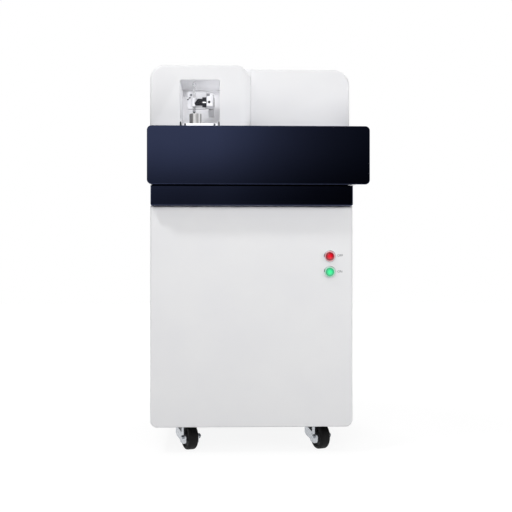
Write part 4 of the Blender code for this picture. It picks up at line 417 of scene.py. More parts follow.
def fillet(corners, radii, steps=6):
    """A polygon's outline with round corners, and its outward normals.

    Corners run anticlockwise. Each corner becomes an arc that is tangent to both sides: its
    points are centre + radius * (cos a, sin a), with a running from one side's normal to the
    next side's.
    """
    points = []
    normals = []
    count = len(corners)
    for i, (corner, radius) in enumerate(zip(corners, np.broadcast_to(radii, count), strict=True)):
        corner = np.array(corner, float)
        before = corner - np.array(corners[i - 1], float)
        after = np.array(corners[(i + 1) % count], float) - corner
        before /= np.linalg.norm(before)
        after /= np.linalg.norm(after)
        start = math.atan2(-before[0], before[1])
        turn = math.atan2(before[0] * after[1] - before[1] * after[0], before @ after)
        if turn > 0:
            centre = corner + (after - before) / math.sin(turn) * radius
            side = 1
        else:
            centre = corner + (before - after) / math.sin(-turn) * -radius
            side = -1
        angles = start + turn * np.linspace(0, 1, steps + 1)
        across = np.stack([np.cos(angles), np.sin(angles)], 1)
        points.append(centre + side * radius * across)
        normals.append(across)
    return np.concatenate(points), np.concatenate(normals)


def arch(left, right, bottom, top, radii, steps):
    """An outline open below, from its lower right over two round corners to its lower left."""
    corners = [(right, bottom), (right, top), (left, top), (left, bottom)]
    points, normals = fillet(corners, [0, *radii, 0], steps)
    arcs = slice(steps + 1, 3 * (steps + 1))
    points = np.concatenate([corners[:1], points[arcs], corners[3:]])
    return points, np.concatenate([[(1.0, 0.0)], normals[arcs], [(-1.0, 0.0)]])


def edge_rows(radius, hold, steps=5):
    """(inset, depth) of a quarter-round edge, with a holding row before and after it.

    inset = r (1 - sin a) and depth = r (1 - cos a), for a from nought to a quarter turn.
    """
    angles = np.linspace(0, math.pi / 2, steps + 1)
    rows = [(radius * (1 - math.sin(a)), radius * (1 - math.cos(a))) for a in angles]
    return [(radius + hold, 0.0), *rows, (0.0, radius + hold)]


def slab(name, corners, radii, start, end, edges, material, body, view="front", steps=6, **options):
    """A flat outline made solid from start to end, both its rims rounded.

    Ring k is the outline moved in along its normals by the rim's inset, at the rim's depth.
    """
    points, normals = fillet(corners, radii, steps)
    hold = 0.3 * MM
    start_edge, end_edge = np.broadcast_to(edges, 2)
    rows = [(inset, start + depth) for inset, depth in edge_rows(start_edge, hold)]
    rows += [(inset, end - depth) for inset, depth in reversed(edge_rows(end_edge, hold))]
    axes = AXES[view]
    rings = [(points - normals * inset) @ axes[:2] + depth * axes[2] for inset, depth in rows]
    faces = solid_faces(len(rings), len(points))
    if view == "front":
        faces = flipped(faces)
    return make_piece(name, np.concatenate(rings), faces, material, body, **options)


def rings_about(axis, count, centre, rows):
    """Rings centre + reach (cos a, sin a) across an axis + level along it, one for each row.

    A row is (reach, level). Its reach is one number, or one for each of the count angles.
    """
    angles = even_angles(count)
    u, v, w = AXES[axis]
    across = np.cos(angles)[:, None] * u + np.sin(angles)[:, None] * v
    centre = np.array(centre)
    return [centre + np.broadcast_to(reach, count)[:, None] * across + level * w for reach, level in rows]


def turned(name, profile, centre, material, body, axis="z", segments=64, **options):
    """A turned form: (radius, height) points, from top to bottom, carried round an axis.

    A point is centre + radius (cos a, sin a) across the axis + height along it. Each corner of
    the profile is split by two points beside it, so that the flats stay flat. A profile that
    ends where it began makes a hoop, and any other one a solid.
    """
    profile = np.array(profile, float)
    dense = [profile[0]]
    hold = 0.15 * MM
    for before, point in zip(profile[:-1], profile[1:], strict=True):
        step = point - before
        length = np.linalg.norm(step)
        if length > 4 * hold:
            dense += [before + step * hold / length, point - step * hold / length]
        dense.append(point)
    dense = np.array(dense)
    dense[:, 0] = np.maximum(dense[:, 0], HAIR)
    rings = rings_about(axis, segments, centre, dense)
    if np.allclose(profile[0], profile[-1]):
        rings.pop()
        faces = hoop_faces(len(rings), segments)
    else:
        faces = solid_faces(len(rings), segments)
    return make_piece(name, np.concatenate(rings), flipped(faces), material, body, **options)


def chamfered(inner, outer, low, high, edge):
    """A sleeve's or a rod's section, from its top inside over its bevelled outside down."""
    return [
        (inner, high), (outer - edge, high), (outer, high - edge),
        (outer, low + edge), (outer - edge, low), (inner, low),
    ]


def ball(name, centre, radius, material, body):
    profile = [(radius * math.sin(a), radius * math.cos(a)) for a in np.linspace(0, math.pi, 13)]
    turned(name, profile, centre, material, body, segments=24)


def hexagon(across):
    """The distance from a hexagon's middle to its edge, at HEX_POINTS even angles."""
    folded = np.mod(even_angles(HEX_POINTS), math.pi / 3) - math.pi / 6
    return across / 2 / np.cos(folded)


def hex_head(name, centre, diameter, height, socket, material, body, axis="-y"):
    """A socket cap screw's head: a round side with a rounded rim, and a hexagonal hole in it.

    Ring k is a circle, or the hexagon's edge distance at the same angles, at its own height.
    """
    radius = diameter / 2
    rim = min(0.12 * diameter, 0.4 * height)
    hole = hexagon(socket)
    rows = [(radius, 0.0)]
    rows += [(radius - depth, height - inset) for inset, depth in edge_rows(rim, 0, 4)[1:-1]]
    rows += [(hole * 1.08, height), (hole, height - 0.05 * diameter), (hole, height - 0.55 * height)]
    rings = rings_about(axis, HEX_POINTS, centre, rows)
    faces = solid_faces(len(rings), HEX_POINTS)
    make_piece(name, np.concatenate(rings), faces, material, body, smooth=False)


def hex_nut(name, centre, across_flats, low, high, bore, material, body, axis, **options):
    """A nut with chamfered corners: at each end the hexagon is cut to a smaller circle."""
    flats = hexagon(across_flats)
    chamfer = across_flats * 0.06
    tight = np.minimum(flats, across_flats / 2 * 1.01)
    rows = [
        (bore, low), (tight, low), (flats, low + chamfer), (flats, high - chamfer), (tight, high),
        (bore, high),
    ]
    rings = rings_about(axis, HEX_POINTS, centre, rows)
    faces = hoop_faces(len(rings), HEX_POINTS)
    make_piece(name, np.concatenate(rings), faces, material, body, smooth=False, **options)


def tube(name, path, radius, material, body, **options):
    """A round wire: circles of one radius, square to the path at each of its points."""
    sides = 10
    along = np.gradient(path, axis=0)
    along /= np.linalg.norm(along, axis=1)[:, None]
    side = np.cross(along, (0.0, 0.0, 1.0))
    side /= np.linalg.norm(side, axis=1)[:, None]
    over = np.cross(side, along)
    angles = even_angles(sides)[None, :, None]
    across = np.cos(angles) * side[:, None] + np.sin(angles) * over[:, None]
    points = (path[:, None] + radius * across).reshape(-1, 3)
    return make_piece(name, points, flipped(solid_faces(len(path), sides)), material, body, **options)


# Hoods

NOSE_RADIUS = 43 * MM


def filled_in(outline, normals, gap):
    """The outline with points added along its upper straights, so that none are further apart."""
    points, ways = [outline[0]], [normals[0]]
    for i in range(1, len(outline)):
        step = outline[i] - outline[i - 1]
        level = abs(step[1]) < 0.001 * abs(step[0])
        pieces = max(1, math.ceil(np.linalg.norm(step) / gap)) if level else 1
        for share in np.arange(1, pieces + 1) / pieces:
            points.append(outline[i - 1] + step * share)
            ways.append(normals[i - 1] * (1 - share) + normals[i] * share)
    return np.array(points), np.array(ways)


def make_hood(name, node, radii, rim, window=None):
    """A hood, open below: its outline carried back from a front rim of changing radius.

    The outline is an arch. The rim at each of its points is moved in by rim (1 - sin a) and
    back by rim (1 - cos a). The front face fills the rim, less the window, and the back face is
    flat. Solidify gives the wall.
    """
    low, high = box_of(node)
    front, back = low[1], high[1]
    outline, normals = filled_in(*arch(low[0], high[0], low[2], high[2], radii, 12), 4 * MM)
    rims = rim(outline, normals)
    count = len(outline)
    hold = 0.4 * MM
    rows = [(rims + hold, front)]
    rows += [(rims * inset, front + rims * depth) for inset, depth in edge_rows(1.0, 0.0, 8)[1:-1]]
    rows.append((0.0, front + (np.max(rims) + hold)))
    rows += [(inset, back - depth) for inset, depth in reversed(edge_rows(1.5 * MM, hold, 3))]
    rings = []
    for inset, y in rows:
        ring = upright(outline - normals * np.broadcast_to(inset, count)[:, None], y)
        ring[:, 2] = np.where(outline[:, 1] <= low[2] + HAIR, low[2], ring[:, 2])
        rings.append(ring)
    faces = ring_faces(len(rings), count, closed=False)
    start = len(rings) * count
    faces.append(list(range(start - count, start)))
    cap = list(range(count))
    if window is not None:
        notch, ways = window
        rows = [(inset, front + depth) for inset, depth in edge_rows(1.0 * MM, 0.2 * MM, 3)[:-1]]
        rows.append((0.0, front + 2.8 * MM))
        rings += [upright(notch + ways * inset, y) for inset, y in rows]
        faces += ring_faces(len(rows), len(notch), closed=False, first=start)
        cap += list(range(start, start + len(notch)))
    faces.append(cap[::-1])
    piece = make_piece(name, np.concatenate(rings), flipped(faces), WHITE, "cabinet", (node,))
    wall = piece.modifiers.new("wall", "SOLIDIFY")
    wall.thickness = 2.4 * MM
    wall.offset = -1


def make_nose():
    """The white nose: a wide vertical curve on its right, a tight rim elsewhere."""
    low, _ = box_of("spark_pod")
    tight, wide = 8, 34

    def rim(outline, normals):
        return tight * MM + (wide - tight) * MM * eased(normals[:, 0])

    left = low[0] + 86 * MM
    width, height, corner = 116.5 * MM, 147.5 * MM, 6.6 * MM
    window = arch(left, left + width, low[2], low[2] + height, [corner] * 2, 6)
    make_hood("nose_hood", "spark_pod", [NOSE_RADIUS] * 2, rim, [part[::-1] for part in window])


def make_nose_shoulder():
    """What fills the corner behind the nose's round one, down to the cover's top."""
    _, high = box_of("spark_pod")
    cover_low, cover_high = box_of("optics_cover")
    skin = 0.2 * MM
    small = 4 * MM
    middle = high[0] - NOSE_RADIUS
    turn = np.linspace(math.pi / 2, 0, 13)
    upper = arc((middle, high[2] - NOSE_RADIUS), NOSE_RADIUS - skin, turn)
    lower = arc((high[0] - small, cover_high[2] - small), small, np.linspace(0, math.pi / 2, 6))
    outline = np.concatenate([upper, [(high[0], high[2] - NOSE_RADIUS)], lower, [(middle, high[2])]])
    rings = [upright(outline, y) for y in (cover_low[1] + 0.3 * MM, high[1])]
    faces = solid_faces(2, len(outline))
    make_piece("nose_shoulder", np.concatenate(rings), faces, WHITE, "cabinet", smooth=False)


def make_optics_hood():
    """The cover beside the nose: nearly square at their seam, round on its free side."""
    low, _ = box_of("optics_cover")

    def rim(outline, normals):
        away = (outline[:, 0] - low[0] - 1.6 * MM) / (16 * MM)
        return (1.0 + 8.0 * eased(away)) * MM

    make_hood("optics_hood", "optics_cover", [47 * MM, 1.5 * MM], rim)


# Cabinet

UNDERSIDE_SLOPE = 0.080


def make_plate(name, node, radii, rim, material, steps=6):
    """A pressed plate in a node's place, with round corners and rims."""
    low, high = box_of(node)
    corners = rectangle(low[0], high[0], low[2], high[2])
    slab(name, corners, np.array(radii) * MM, low[1], high[1], (rim, 0.5 * MM), material, "cabinet",
         steps=steps, replaces=(node,))


def make_worktop():
    """The worktop: a rounded outline carried back, further on the right than on the left.

    Its underside right of the waist rises backwards, by UNDERSIDE_SLOPE metres in each metre.
    """
    low, high = box_of("desk_body")
    pod_low, pod_high = box_of("spark_pod")
    step_x = pod_high[0]
    step_y = pod_low[1] - 0.3 * MM
    overhang = box_of("waist_band")[1][0] + 3 * MM
    beside = 0.1 * MM
    steps = 10
    first, third = steps + 1, 3 * (steps + 1)
    outline, normals = fillet(rectangle(low[0], high[0], low[2], high[2]), 13 * MM, steps)
    lower_cut = [(x, low[2]) for x in (step_x, step_x + beside, overhang, overhang + beside)]
    upper_cut = [(step_x + beside, high[2]), (step_x, high[2])]
    outline = np.concatenate([outline[:first], lower_cut, outline[first:third], upper_cut, outline[third:]])
    down = np.array([(0.0, -1.0)] * 4)
    normals = np.concatenate([normals[:first], down, normals[first:third], -down[:2], normals[third:]])
    rise = UNDERSIDE_SLOPE * (high[1] - low[1]) / (high[2] - low[2])
    kept = np.where(outline[:, 0] > overhang, 1 - rise, 1)
    back = np.where(outline[:, 0] <= step_x, step_y, high[1])
    rows = edge_rows(1.4 * MM, 0.3 * MM, 6)
    rings = [upright(outline - normals * inset, low[1] + depth) for inset, depth in rows]
    for inset in (0.0, 1 * MM):
        flat = outline - normals * inset
        flat[:, 1] = high[2] - (high[2] - flat[:, 1]) * kept
        rings.append(upright(flat, back))
    count = len(outline)
    final = (len(rings) - 1) * count
    left_side = [i for i in range(count) if outline[i, 0] <= step_x]
    left_side.sort(key=lambda i: i < count / 2)
    right_side = [i for i in range(count) if outline[i, 0] > step_x]
    faces = [*ring_faces(len(rings), count), list(range(count))[::-1]]
    faces += [[final + i for i in side] for side in (left_side, right_side)]
    make_piece("worktop", np.concatenate(rings), flipped(faces), NAVY, "cabinet", ("desk_body",))


def make_side(node, name, side):
    """A side sheet: down the outside, round the foot's curl, in, and back along the inside."""
    low, high = box_of(node)
    sheet = 2 * MM
    radius = 20 * MM
    outer, inner = (high[0], low[0]) if side > 0 else (low[0], high[0])
    notch = box_of("desk_body")[0][2] - 0.6 * MM
    front_high = box_of("optics_cover" if side > 0 else "spark_pod")[0][1]
    bend = (outer - side * radius, low[2] + radius)
    turn = np.linspace(0, math.pi / 2, 13)
    curl, curl_in = (arc(bend, (side * reach, -reach), turn) for reach in (radius, radius - sheet))
    heights = [high[2], notch + 0.1 * MM, notch]
    down = [(outer, z) for z in heights]
    up = [(outer - side * sheet, z) for z in reversed(heights)]
    outline = np.array([*down, *curl, (inner, low[2]), (inner, low[2] + sheet), *curl_in[::-1], *up])
    front = np.where(outline[:, 1] > notch + 0.05 * MM, front_high, low[1])
    count = len(outline)
    faces = ring_faces(2, count)
    for first in (0, count):
        last = first + count - 1
        quads = [[first + i, first + i + 1, last - 1 - i, last - i] for i in range(count // 2 - 1)]
        faces += quads if first else flipped(quads)
    if side > 0:
        faces = flipped(faces)
    points = np.concatenate([upright(outline, front), upright(outline, high[1])])
    make_piece(name, points, faces, WHITE, "cabinet", (node,), smooth=False)


# Buttons and their words

def make_button(colour, middle, edge, glow, collar_colour, sink):
    """A lit cap in its pale collar, and the chromed ring round both, its face a shallow cone."""
    x, _, z = middle_of(colour + "_button_cap")
    centre = (x, 0, z - sink)
    slot = colour + "_plastic"
    ring = np.array([
        (15.2, 2), (15.2, 7.3), (15.5, 7.6), (17.1, 6.9), (17.5, 6.2), (17.5, 0.3), (11, 0.3),
        (11, -30), (8, -30), (8, 2), (15.2, 2),
    ]) * MM
    turned(colour + "_bezel_ring", ring, centre, CHROME, "cabinet", "-y", 72,
           replaces=(colour + "_button_bezel",))
    collar = np.array([
        (12.3, 2.2), (12.3, 7.4), (12.7, 7.9), (14.5, 7.9), (15.1, 7.4), (15.1, 2.2), (12.3, 2.2),
    ]) * MM
    glaze = moulded(colour + "_collar_plastic", collar_colour, collar_colour, 0.3, 0.8 * MM)
    turned(colour + "_collar", collar, centre, glaze, "cabinet", "-y", 72, slot=slot)
    lens = lit_lens(colour + "_lens", lift([centre])[0], middle, edge, glow)
    cap = 11.9 * MM
    top = 12.5 * MM
    crown = [(cap * math.sin(a), top - 1.6 * MM * (1 - math.cos(a))) for a in np.linspace(0, 1.15, 8)]
    shoulder = [(cap - 0.25 * MM, top - 1.5 * MM), (cap, top - 2.2 * MM)]
    body = [(cap, 7.0 * MM), (7 * MM, 7.0 * MM), (7 * MM, -11 * MM), (0, -11 * MM)]
    turned(colour + "_cap_lens", [*crown, *shoulder, *body], centre, lens, colour + "_button", "-y", 56,
           replaces=(colour + "_button_cap",), slot=slot)


def make_word(word, x, z):
    """A generic word, printed on the panel's face."""
    height = 6.6 * MM
    curve = bpy.data.curves.new("word_" + word.lower(), "FONT")
    curve.body = word
    curve.size = height * 1.4
    curve.extrude = 0.04 * MM
    curve.resolution_u = 4
    drawn = bpy.data.objects.new("word_outline", curve)
    bpy.context.scene.collection.objects.link(drawn)
    bpy.context.view_layer.update()
    mesh = bpy.data.meshes.new_from_object(drawn.evaluated_get(bpy.context.evaluated_depsgraph_get()))
    bpy.data.objects.remove(drawn)
    place = Matrix.Translation(lift([(x, -0.06 * MM, z)])[0]) @ Matrix.Rotation(math.pi / 2, 4, "X")
    mesh.transform(place)
    mesh.materials.clear()
    mesh.materials.append(INK)
    piece = bpy.data.objects.new("printed_" + word.lower(), mesh)
    bpy.context.scene.collection.objects.link(piece)
    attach(piece, "cabinet")


# Alcove

ROD_SHIFT = np.array((-3.3, 0, 0)) * MM


def make_sample():
    """The test sample: a turned disc with bevelled rims."""
    low, high = box_of("test_sample")
    x, y, _ = middle_of("test_sample")
    radius = (high[0] - low[0]) / 2
    # The sample's steel carries painted reflection bands in its colour.
    steel = lathe_turned_painted_reflections("turned_sample_steel_painted_reflections", "EDECEB", "BEBDBC", "7F7E7D", lift([(x, y, 0)])[0], radius)
    turned("sample_disc", chamfered(0, radius, low[2], high[2], 0.5 * MM), (x, y, 0), steel, "cabinet",
           segments=96, replaces=("test_sample",), slot="machined_steel")


def make_table_screws():
    """The two cap screws in the front face of the sample table."""
    low, high = box_of("table_plate")
    for side, x in (("left", low[0] + 11 * MM), ("right", high[0] - 11 * MM)):
        hex_head(f"table_{side}_screw", (x, low[1] + 0.2 * MM, high[2] - 3.2 * MM), 6.2 * MM, 1.6 * MM,
                 3 * MM, TABLE_SCREW, "cabinet")


def make_clamp_head():
    """The ground block with its cap screw and gib, and the knuckle that swings on the pin."""
    low, high = box_of("clamp_head")
    left = box_of("clamp_arm")[1][0] + 0.3 * MM
    right = left + 20.4 * MM
    bottom, top = low[2] + 3.6 * MM, high[2] - 1.2 * MM
    front, back = low[1], low[1] + 60 * MM
    chamfer = 7 * MM
    corners = [
        (left, bottom), (right, bottom), (right, top - chamfer), (right - chamfer, top), (left, top),
    ]
    slab("clamp_block", corners, np.array([0.5, 1, 1, 1, 0.5]) * MM, front, back, (1.3 * MM, 0.8 * MM),
         BLOCK_STEEL, "clamp", replaces=("clamp_head",))
    hex_head("clamp_block_screw", (left + 8 * MM, front + 0.4 * MM, bottom + 12.7 * MM), 7.4 * MM,
             1.8 * MM, 3.6 * MM, BLACK, "clamp")
    gib = rectangle(left + 0.6 * MM, left + 9.8 * MM, top - 8.2 * MM, top - 0.8 * MM)
    slab("clamp_gib", gib, 0.8 * MM, front - 0.5 * MM, front + 2 * MM, (0.3 * MM, 0.2 * MM), GIB_STEEL,
         "clamp")
    pivot = middle_of("clamp_pivot_pin")
    knuckle = 13.5 * MM
    ring = chamfered(4.3 * MM, 11 * MM, -knuckle, knuckle, 0.7 * MM)
    turned("clamp_knuckle", [*ring, ring[0]], pivot, GROUND, "clamp")
    half = 8 * MM
    neck = rectangle(pivot[0] - half, pivot[0] + half, back - 1 * MM, pivot[1] - 8 * MM)
    slab("clamp_neck", neck, 0.3 * MM, pivot[2] - knuckle, pivot[2] + knuckle, 0.5 * MM, GROUND, "clamp",
         view="z")


def make_clamp_arm():
    """The coated arm with its lug and cap screw, and the small ball-ended pin beside it."""
    low, high = box_of("clamp_arm")
    front = high[1] - 16 * MM
    corners = rectangle(low[0], high[0], low[2], high[2])
    slab("clamp_arm_plate", corners, np.array([4, 0.6, 0.6, 4]) * MM, front, high[1], 1 * MM, ARM_WHITE,
         "clamp", replaces=("clamp_arm",))
    x, y, _ = middle_of("clamp_rod") + ROD_SHIFT
    bottom = low[2] + 7 * MM
    top = bottom + 25 * MM
    outer = 7 * MM
    edge = 0.8 * MM
    ring = chamfered(3.5 * MM, outer, bottom, top, edge)
    turned("clamp_arm_lug", [*ring, ring[0]], (x, y, 0), ARM_WHITE, "clamp")
    web = rectangle(x - outer, x + outer, y + 4 * MM, front + 1 * MM)
    slab("clamp_arm_web", web, 0.3 * MM, bottom, top, edge, ARM_WHITE, "clamp", view="z")
    hex_head("clamp_arm_screw", (low[0] + 9.4 * MM, front + 0.4 * MM, low[2] + 41.8 * MM), 7.6 * MM,
             2.2 * MM, 3.4 * MM, ZINC, "clamp")
    upper, lower = (
        np.array((low[0] + x * MM, front - 3.4 * MM, low[2] + z * MM)) for x, z in ((6.3, 33.1), (0.3, 27.8))
    )
    tube("clamp_arm_pin", np.linspace(lower, upper, 5), 1.0 * MM, CHROME, "clamp")
    tube("clamp_arm_pin_post", np.linspace(upper, upper + (0, 4 * MM, 0), 4), 1.1 * MM, CHROME, "clamp")
    ball("clamp_arm_pin_upper_ball", upper, 2.0 * MM, BLACK, "clamp")
    ball("clamp_arm_pin_lower_ball", lower, 2.2 * MM, BLACK, "clamp")


def make_clamp_rod():
    """The rod with its olive knob, an ellipse turned about the rod, and its black foot."""
    low, high = box_of("clamp_rod")
    x, y, _ = middle_of("clamp_rod") + ROD_SHIFT
    radius = 3.2 * MM
    across = 5.9 * MM
    half = 8.8 * MM
    groove = 0.5 * MM
    end = math.pi - math.asin(radius / across)
    knob = [(across * math.sin(a), high[2] - half + half * math.cos(a)) for a in np.linspace(0, end, 25)]
    neck = knob[-1][1]
    rod = [
        (radius - groove, neck - 0.4 * MM), (radius - groove, neck - 1.6 * MM), (radius, neck - 2.0 * MM),
        (radius, low[2] + 0.5 * MM), (radius - 0.5 * MM, low[2]), (0, low[2]),
    ]
    turned("clamp_rod_and_knob", [*knob, *rod], (x, y, 0), SATIN_ROD, "clamp_plunger", segments=48,
           replaces=("clamp_rod",))
    low, high = box_of("pressure_tip")
    collar = 3.6 * MM
    nose = 1.6 * MM
    bevel = 0.3 * MM
    foot = [*chamfered(0, collar, high[2] - nose, high[2], bevel)[:-1], (collar - nose, high[2] - nose)]
    turned("pressure_foot", [*foot, (nose, low[2]), (0, low[2])], (x, y, 0), BLACK, "clamp_plunger",
           segments=40, replaces=("pressure_tip",))


def make_clamp_spring():
    """The coil: a circle's angle and height run on together, with closed turns at both ends."""
    low, high = box_of("clamp_spring")
    x, y, _ = middle_of("clamp_spring") + ROD_SHIFT
    wire = 0.6 * MM
    radius = 5.0 * MM - wire
    turns = 5.5
    closed = 0.12
    share = np.linspace(0, 1, 260)
    ends = np.clip(share / closed, 0, 1) + np.clip((share - 1 + closed) / closed, 0, 1)
    climb = np.clip((share - closed) / (1 - 2 * closed), 0, 1) * (high[2] - low[2] - 4.3 * wire)
    height = low[2] + wire + 1.15 * wire * ends + climb
    path = np.column_stack([arc((x, y), radius, math.tau * turns * share), height])
    coil = tube("clamp_coil_spring", path, wire, COIL, "clamp", replaces=("clamp_spring",))
    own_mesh(coil)


def make_lock_lever():
    """The ribbed disc and the slanted handle of the lever that locks the clamp.

    The disc's edge lies at R - d ((1 + cos 18 a) / 2)^2, the power leaving narrow grooves
    between wide ribs.
    """
    low, high = box_of("lock_lever")
    right = high[0]
    disc = right - 12 * MM
    y, z = low[1] + 14.8 * MM, (low[2] + high[2]) / 2
    ribs = 18
    count = ribs * 12
    edge = 14.7 * MM - 1.2 * MM * ((1 + np.cos(ribs * even_angles(count))) / 2) ** 2
    rim = edge_rows(1.2 * MM, 0, 4)[1:-1]
    rows = [(edge - inset, disc + depth) for inset, depth in rim]
    rows += [(edge - inset / 2, right - depth / 2) for inset, depth in reversed(rim)]
    rings = rings_about("x", count, (0, y, z), rows)
    make_piece("lock_lever_disc", np.concatenate(rings), solid_faces(len(rings), count), LEVER_BLACK,
               "lever", ("lock_lever",), smooth=False)
    end = low[0] - 2.4 * MM
    half = 9.75 * MM
    corners = [
        (end + 3.4 * MM, z - half), (disc + 2 * MM, z - half), (disc + 2 * MM, z + half),
        (end + 10.3 * MM, z + half), (end, z + half - 12.7 * MM),
    ]
    slab("lock_lever_handle", corners, np.array([2, 0.5, 0.5, 2.5, 1.5]) * MM, y - 7 * MM, y + 7 * MM,
         1.6 * MM, LEVER_BLACK, "lever")
    # A white strip on the front of the disc's edge.
    mark = rectangle(disc + 1.2 * MM, right - 1.2 * MM, z - 3.6 * MM, z - 0.8 * MM)
    slab("lock_lever_white_strip", mark, 0.6 * MM, low[1] - 0.1 * MM, low[1] + 1.6 * MM, (0.3 * MM, 0.2 * MM),
         WHITE, "lever")


# Castors

CASTOR_TURN = math.radians(24)
TRAIL = 30 * MM
TYRE_RADIUS = 37.5 * MM
TYRE_EDGE = 6.5 * MM
LEG = np.array([
    (-50, 21), (-30, 17), (-9, 19.5), (-5, 27), (19, 34), (27.2, 42), (27.2, 74), (20, 89),
    (14, 89), (13, 63), (-18.5, 50), (-20, 89), (-34, 89), (-35, 43.5), (-52, 43),
]) * MM
LEG_RADII = np.array([9, 6, 5, 6, 6, 6, 10, 2, 1, 2, 2, 1, 1, 2, 4]) * MM
GUARD = np.array([(-22, 46), (16, 60), (18, 86), (-22, 86)]) * MM
CROWN = np.array([
    (5.4, 93.1), (20, 93.1), (26, 92.5), (27.5, 91.1), (28, 89.1), (28, 82.1), (25.4, 82.1),
    (25.4, 88.1), (5.4, 88.1), (5.4, 93.1),
]) * MM
BOLT = np.array([(0, 35), (3.2, 35), (4, 34.2), (4, -26.4), (3.2, -27.2), (0, -27.2)]) * MM


def castor_place(x, y):
    """Points given about a castor's kingpin, in its own turned axes, as cabinet points."""
    cos, sin = math.cos(CASTOR_TURN), math.sin(CASTOR_TURN)
    turn = np.array(((cos, sin, 0), (-sin, cos, 0), (0, 0, 1)))
    return lambda points: np.asarray(points, float) @ turn + np.array((x, y, 0))


def make_castor(corner):
    """Wheel, fork and axle of one castor, worked out about its kingpin."""
    x, y, _ = middle_of(corner + "_castor_plate")
    place = castor_place(x, y)
    fork = corner + "_fork"
    wheel = corner + "_wheel"
    axle = (0, -TRAIL, TYRE_RADIUS)
    half = 14.5 * MM
    rim = 27.5 * MM
    rows = edge_rows(TYRE_EDGE, 0, 6)[1:-1]
    tyre = [(rim, half - 1.5 * MM), (rim + 1.5 * MM, half)]
    tyre += [(TYRE_RADIUS - depth, half - inset) for inset, depth in reversed(rows)]
    tyre += [(radius, -level) for radius, level in reversed(tyre)]
    turned(corner + "_tyre", [*tyre, tyre[0]], axle, RUBBER, wheel, "x", 96,
           replaces=(corner + "_castor_wheel",), place=place)
    core = [
        (4.3, 15.5), (11, 15.5), (12, 14.5), (12.8, 10.4), (14.4, 9), (25.1, 9), (26.7, 10.4),
        (27.5, 12.3),
    ]
    core += [(radius, -level) for radius, level in reversed(core)]
    turned(corner + "_wheel_core", np.array([*core, core[0]]) * MM, axle, WHEEL_CORE, wheel, "x", 64,
           place=place)
    turned(corner + "_fork_crown", CROWN, (0, 0, 0), ZINC, fork, "z", 64,
           replaces=(corner + "_castor_fork",), place=place)
    for side, start in (("left", -18.1 * MM), ("right", 16.9 * MM)):
        slab(f"{corner}_fork_{side}_guard", GUARD, 2 * MM, start, start + 1.2 * MM, 0.3 * MM, BLACK, fork,
             view="x", place=place)
    for side, start in (("left", -21.2 * MM), ("right", 18.2 * MM)):
        slab(f"{corner}_fork_{side}_leg", LEG, LEG_RADII, start, start + 3 * MM, 0.7 * MM, ZINC, fork,
             view="x", place=place)
    turned(corner + "_axle_bolt", BOLT, axle, ZINC, fork, "x", 32, place=place)
    for side, start, end, flats, metal in (
        ("left", -25.2, -21.2, 11, ZINC), ("right", 21.2, 32, 14, NUT_STEEL),
    ):
        hex_nut(f"{corner}_axle_{side}_nut", axle, flats * MM, start * MM, end * MM, 4 * MM, metal, fork,
                "x", place=place)


# Back

def make_back_screws():
    """Button-headed screws that hold the rear panel, the fans and the fittings."""
    low, high = box_of("rear_panel")
    y = high[1] - 0.2 * MM
    inset = 10 * MM
    places = []
    for x in (low[0] + inset, high[0] - inset):
        places += [(x, low[2] + share * (high[2] - low[2])) for share in (0.03, 0.265, 0.5, 0.735, 0.97)]
    for x in (-97 * MM, 97 * MM):
        places += [(x, low[2] + inset), (x, high[2] - inset)]
    for side in ("left", "right"):
        fan_low, fan_high = box_of(side + "_fan_frame")
        inset = 5 * MM
        for x in (fan_low[0] + inset, fan_high[0] - inset):
            places += [(x, fan_low[2] + inset), (x, fan_high[2] - inset)]
    for number, (x, z) in enumerate(places, 1):
        hex_head(f"back_screw_{number}", (x, y, z), 7.6 * MM, 2.2 * MM, 2.6 * MM, ZINC, "cabinet", "y")


def make_pieces():
    make_nose()
    make_optics_hood()
    make_plate("front_door", "front_panel", (20, 20, 1.5, 1.5), 2.5 * MM, WHITE, 10)
    make_plate("waist_rail", "waist_band", (5, 5, 1, 1), 2.0 * MM, NAVY)
    make_worktop()
    make_side("left_side_panel", "left_side", -1)
    make_side("right_side_panel", "right_side", 1)
    make_button("red", "F40A26", "7C0016", 0.14, "F7BFC6", 1.8 * MM)
    make_button("green", "3EF79B", "34A878", 0.20, "C9F3DD", 0.8 * MM)
    make_word("OFF", 0.246, 0.5652)
    make_word("ON", 0.246, 0.5192)
    make_nose_shoulder()
    make_sample()
    make_table_screws()
    make_clamp_head()
    make_clamp_arm()
    make_clamp_rod()
    make_clamp_spring()
    make_lock_lever()
    for corner in ("front_left", "front_right", "rear_left", "rear_right"):
        make_castor(corner)
    make_back_screws()


def paint(node, material):
    NODES[node].data.materials.clear()
    NODES[node].data.materials.append(material)


def dress_nodes():
    """Give every node that stays the finish of its slot, and the alcove's white ones their own.

    The button caps' slots have no finish here, because their lenses replace them.
    """
    for entry in frame["record"]["subparts"]:
        paint(entry["node"], SLOTS.get(entry["material_slot"], [BLACK])[0])
    for node in ("alcove_liner", "clamp_bracket"):
        paint(node, LINER_WHITE)
    # The table plate takes the darker copy of the white coat: painted shade.
    paint("table_plate", TABLE_SHADED_WHITE)


# Studio

CAMERA_PLACE = (-0.0941, -3.0, 0.5652)
CAMERA_TURN = (90.03, 0, -2.03)
FOCAL_PIXELS = 1047.7
PICTURE_PIXELS = 512
SENSOR = 36


def plain_rays(tree):
    """The kinds of ray, and whether one comes straight from the camera or through something."""
    rays = add_node(tree, "ShaderNodeLightPath").outputs
    return rays, math_node(tree, "MAXIMUM", rays["Is Camera Ray"], rays["Is Transmission Ray"])


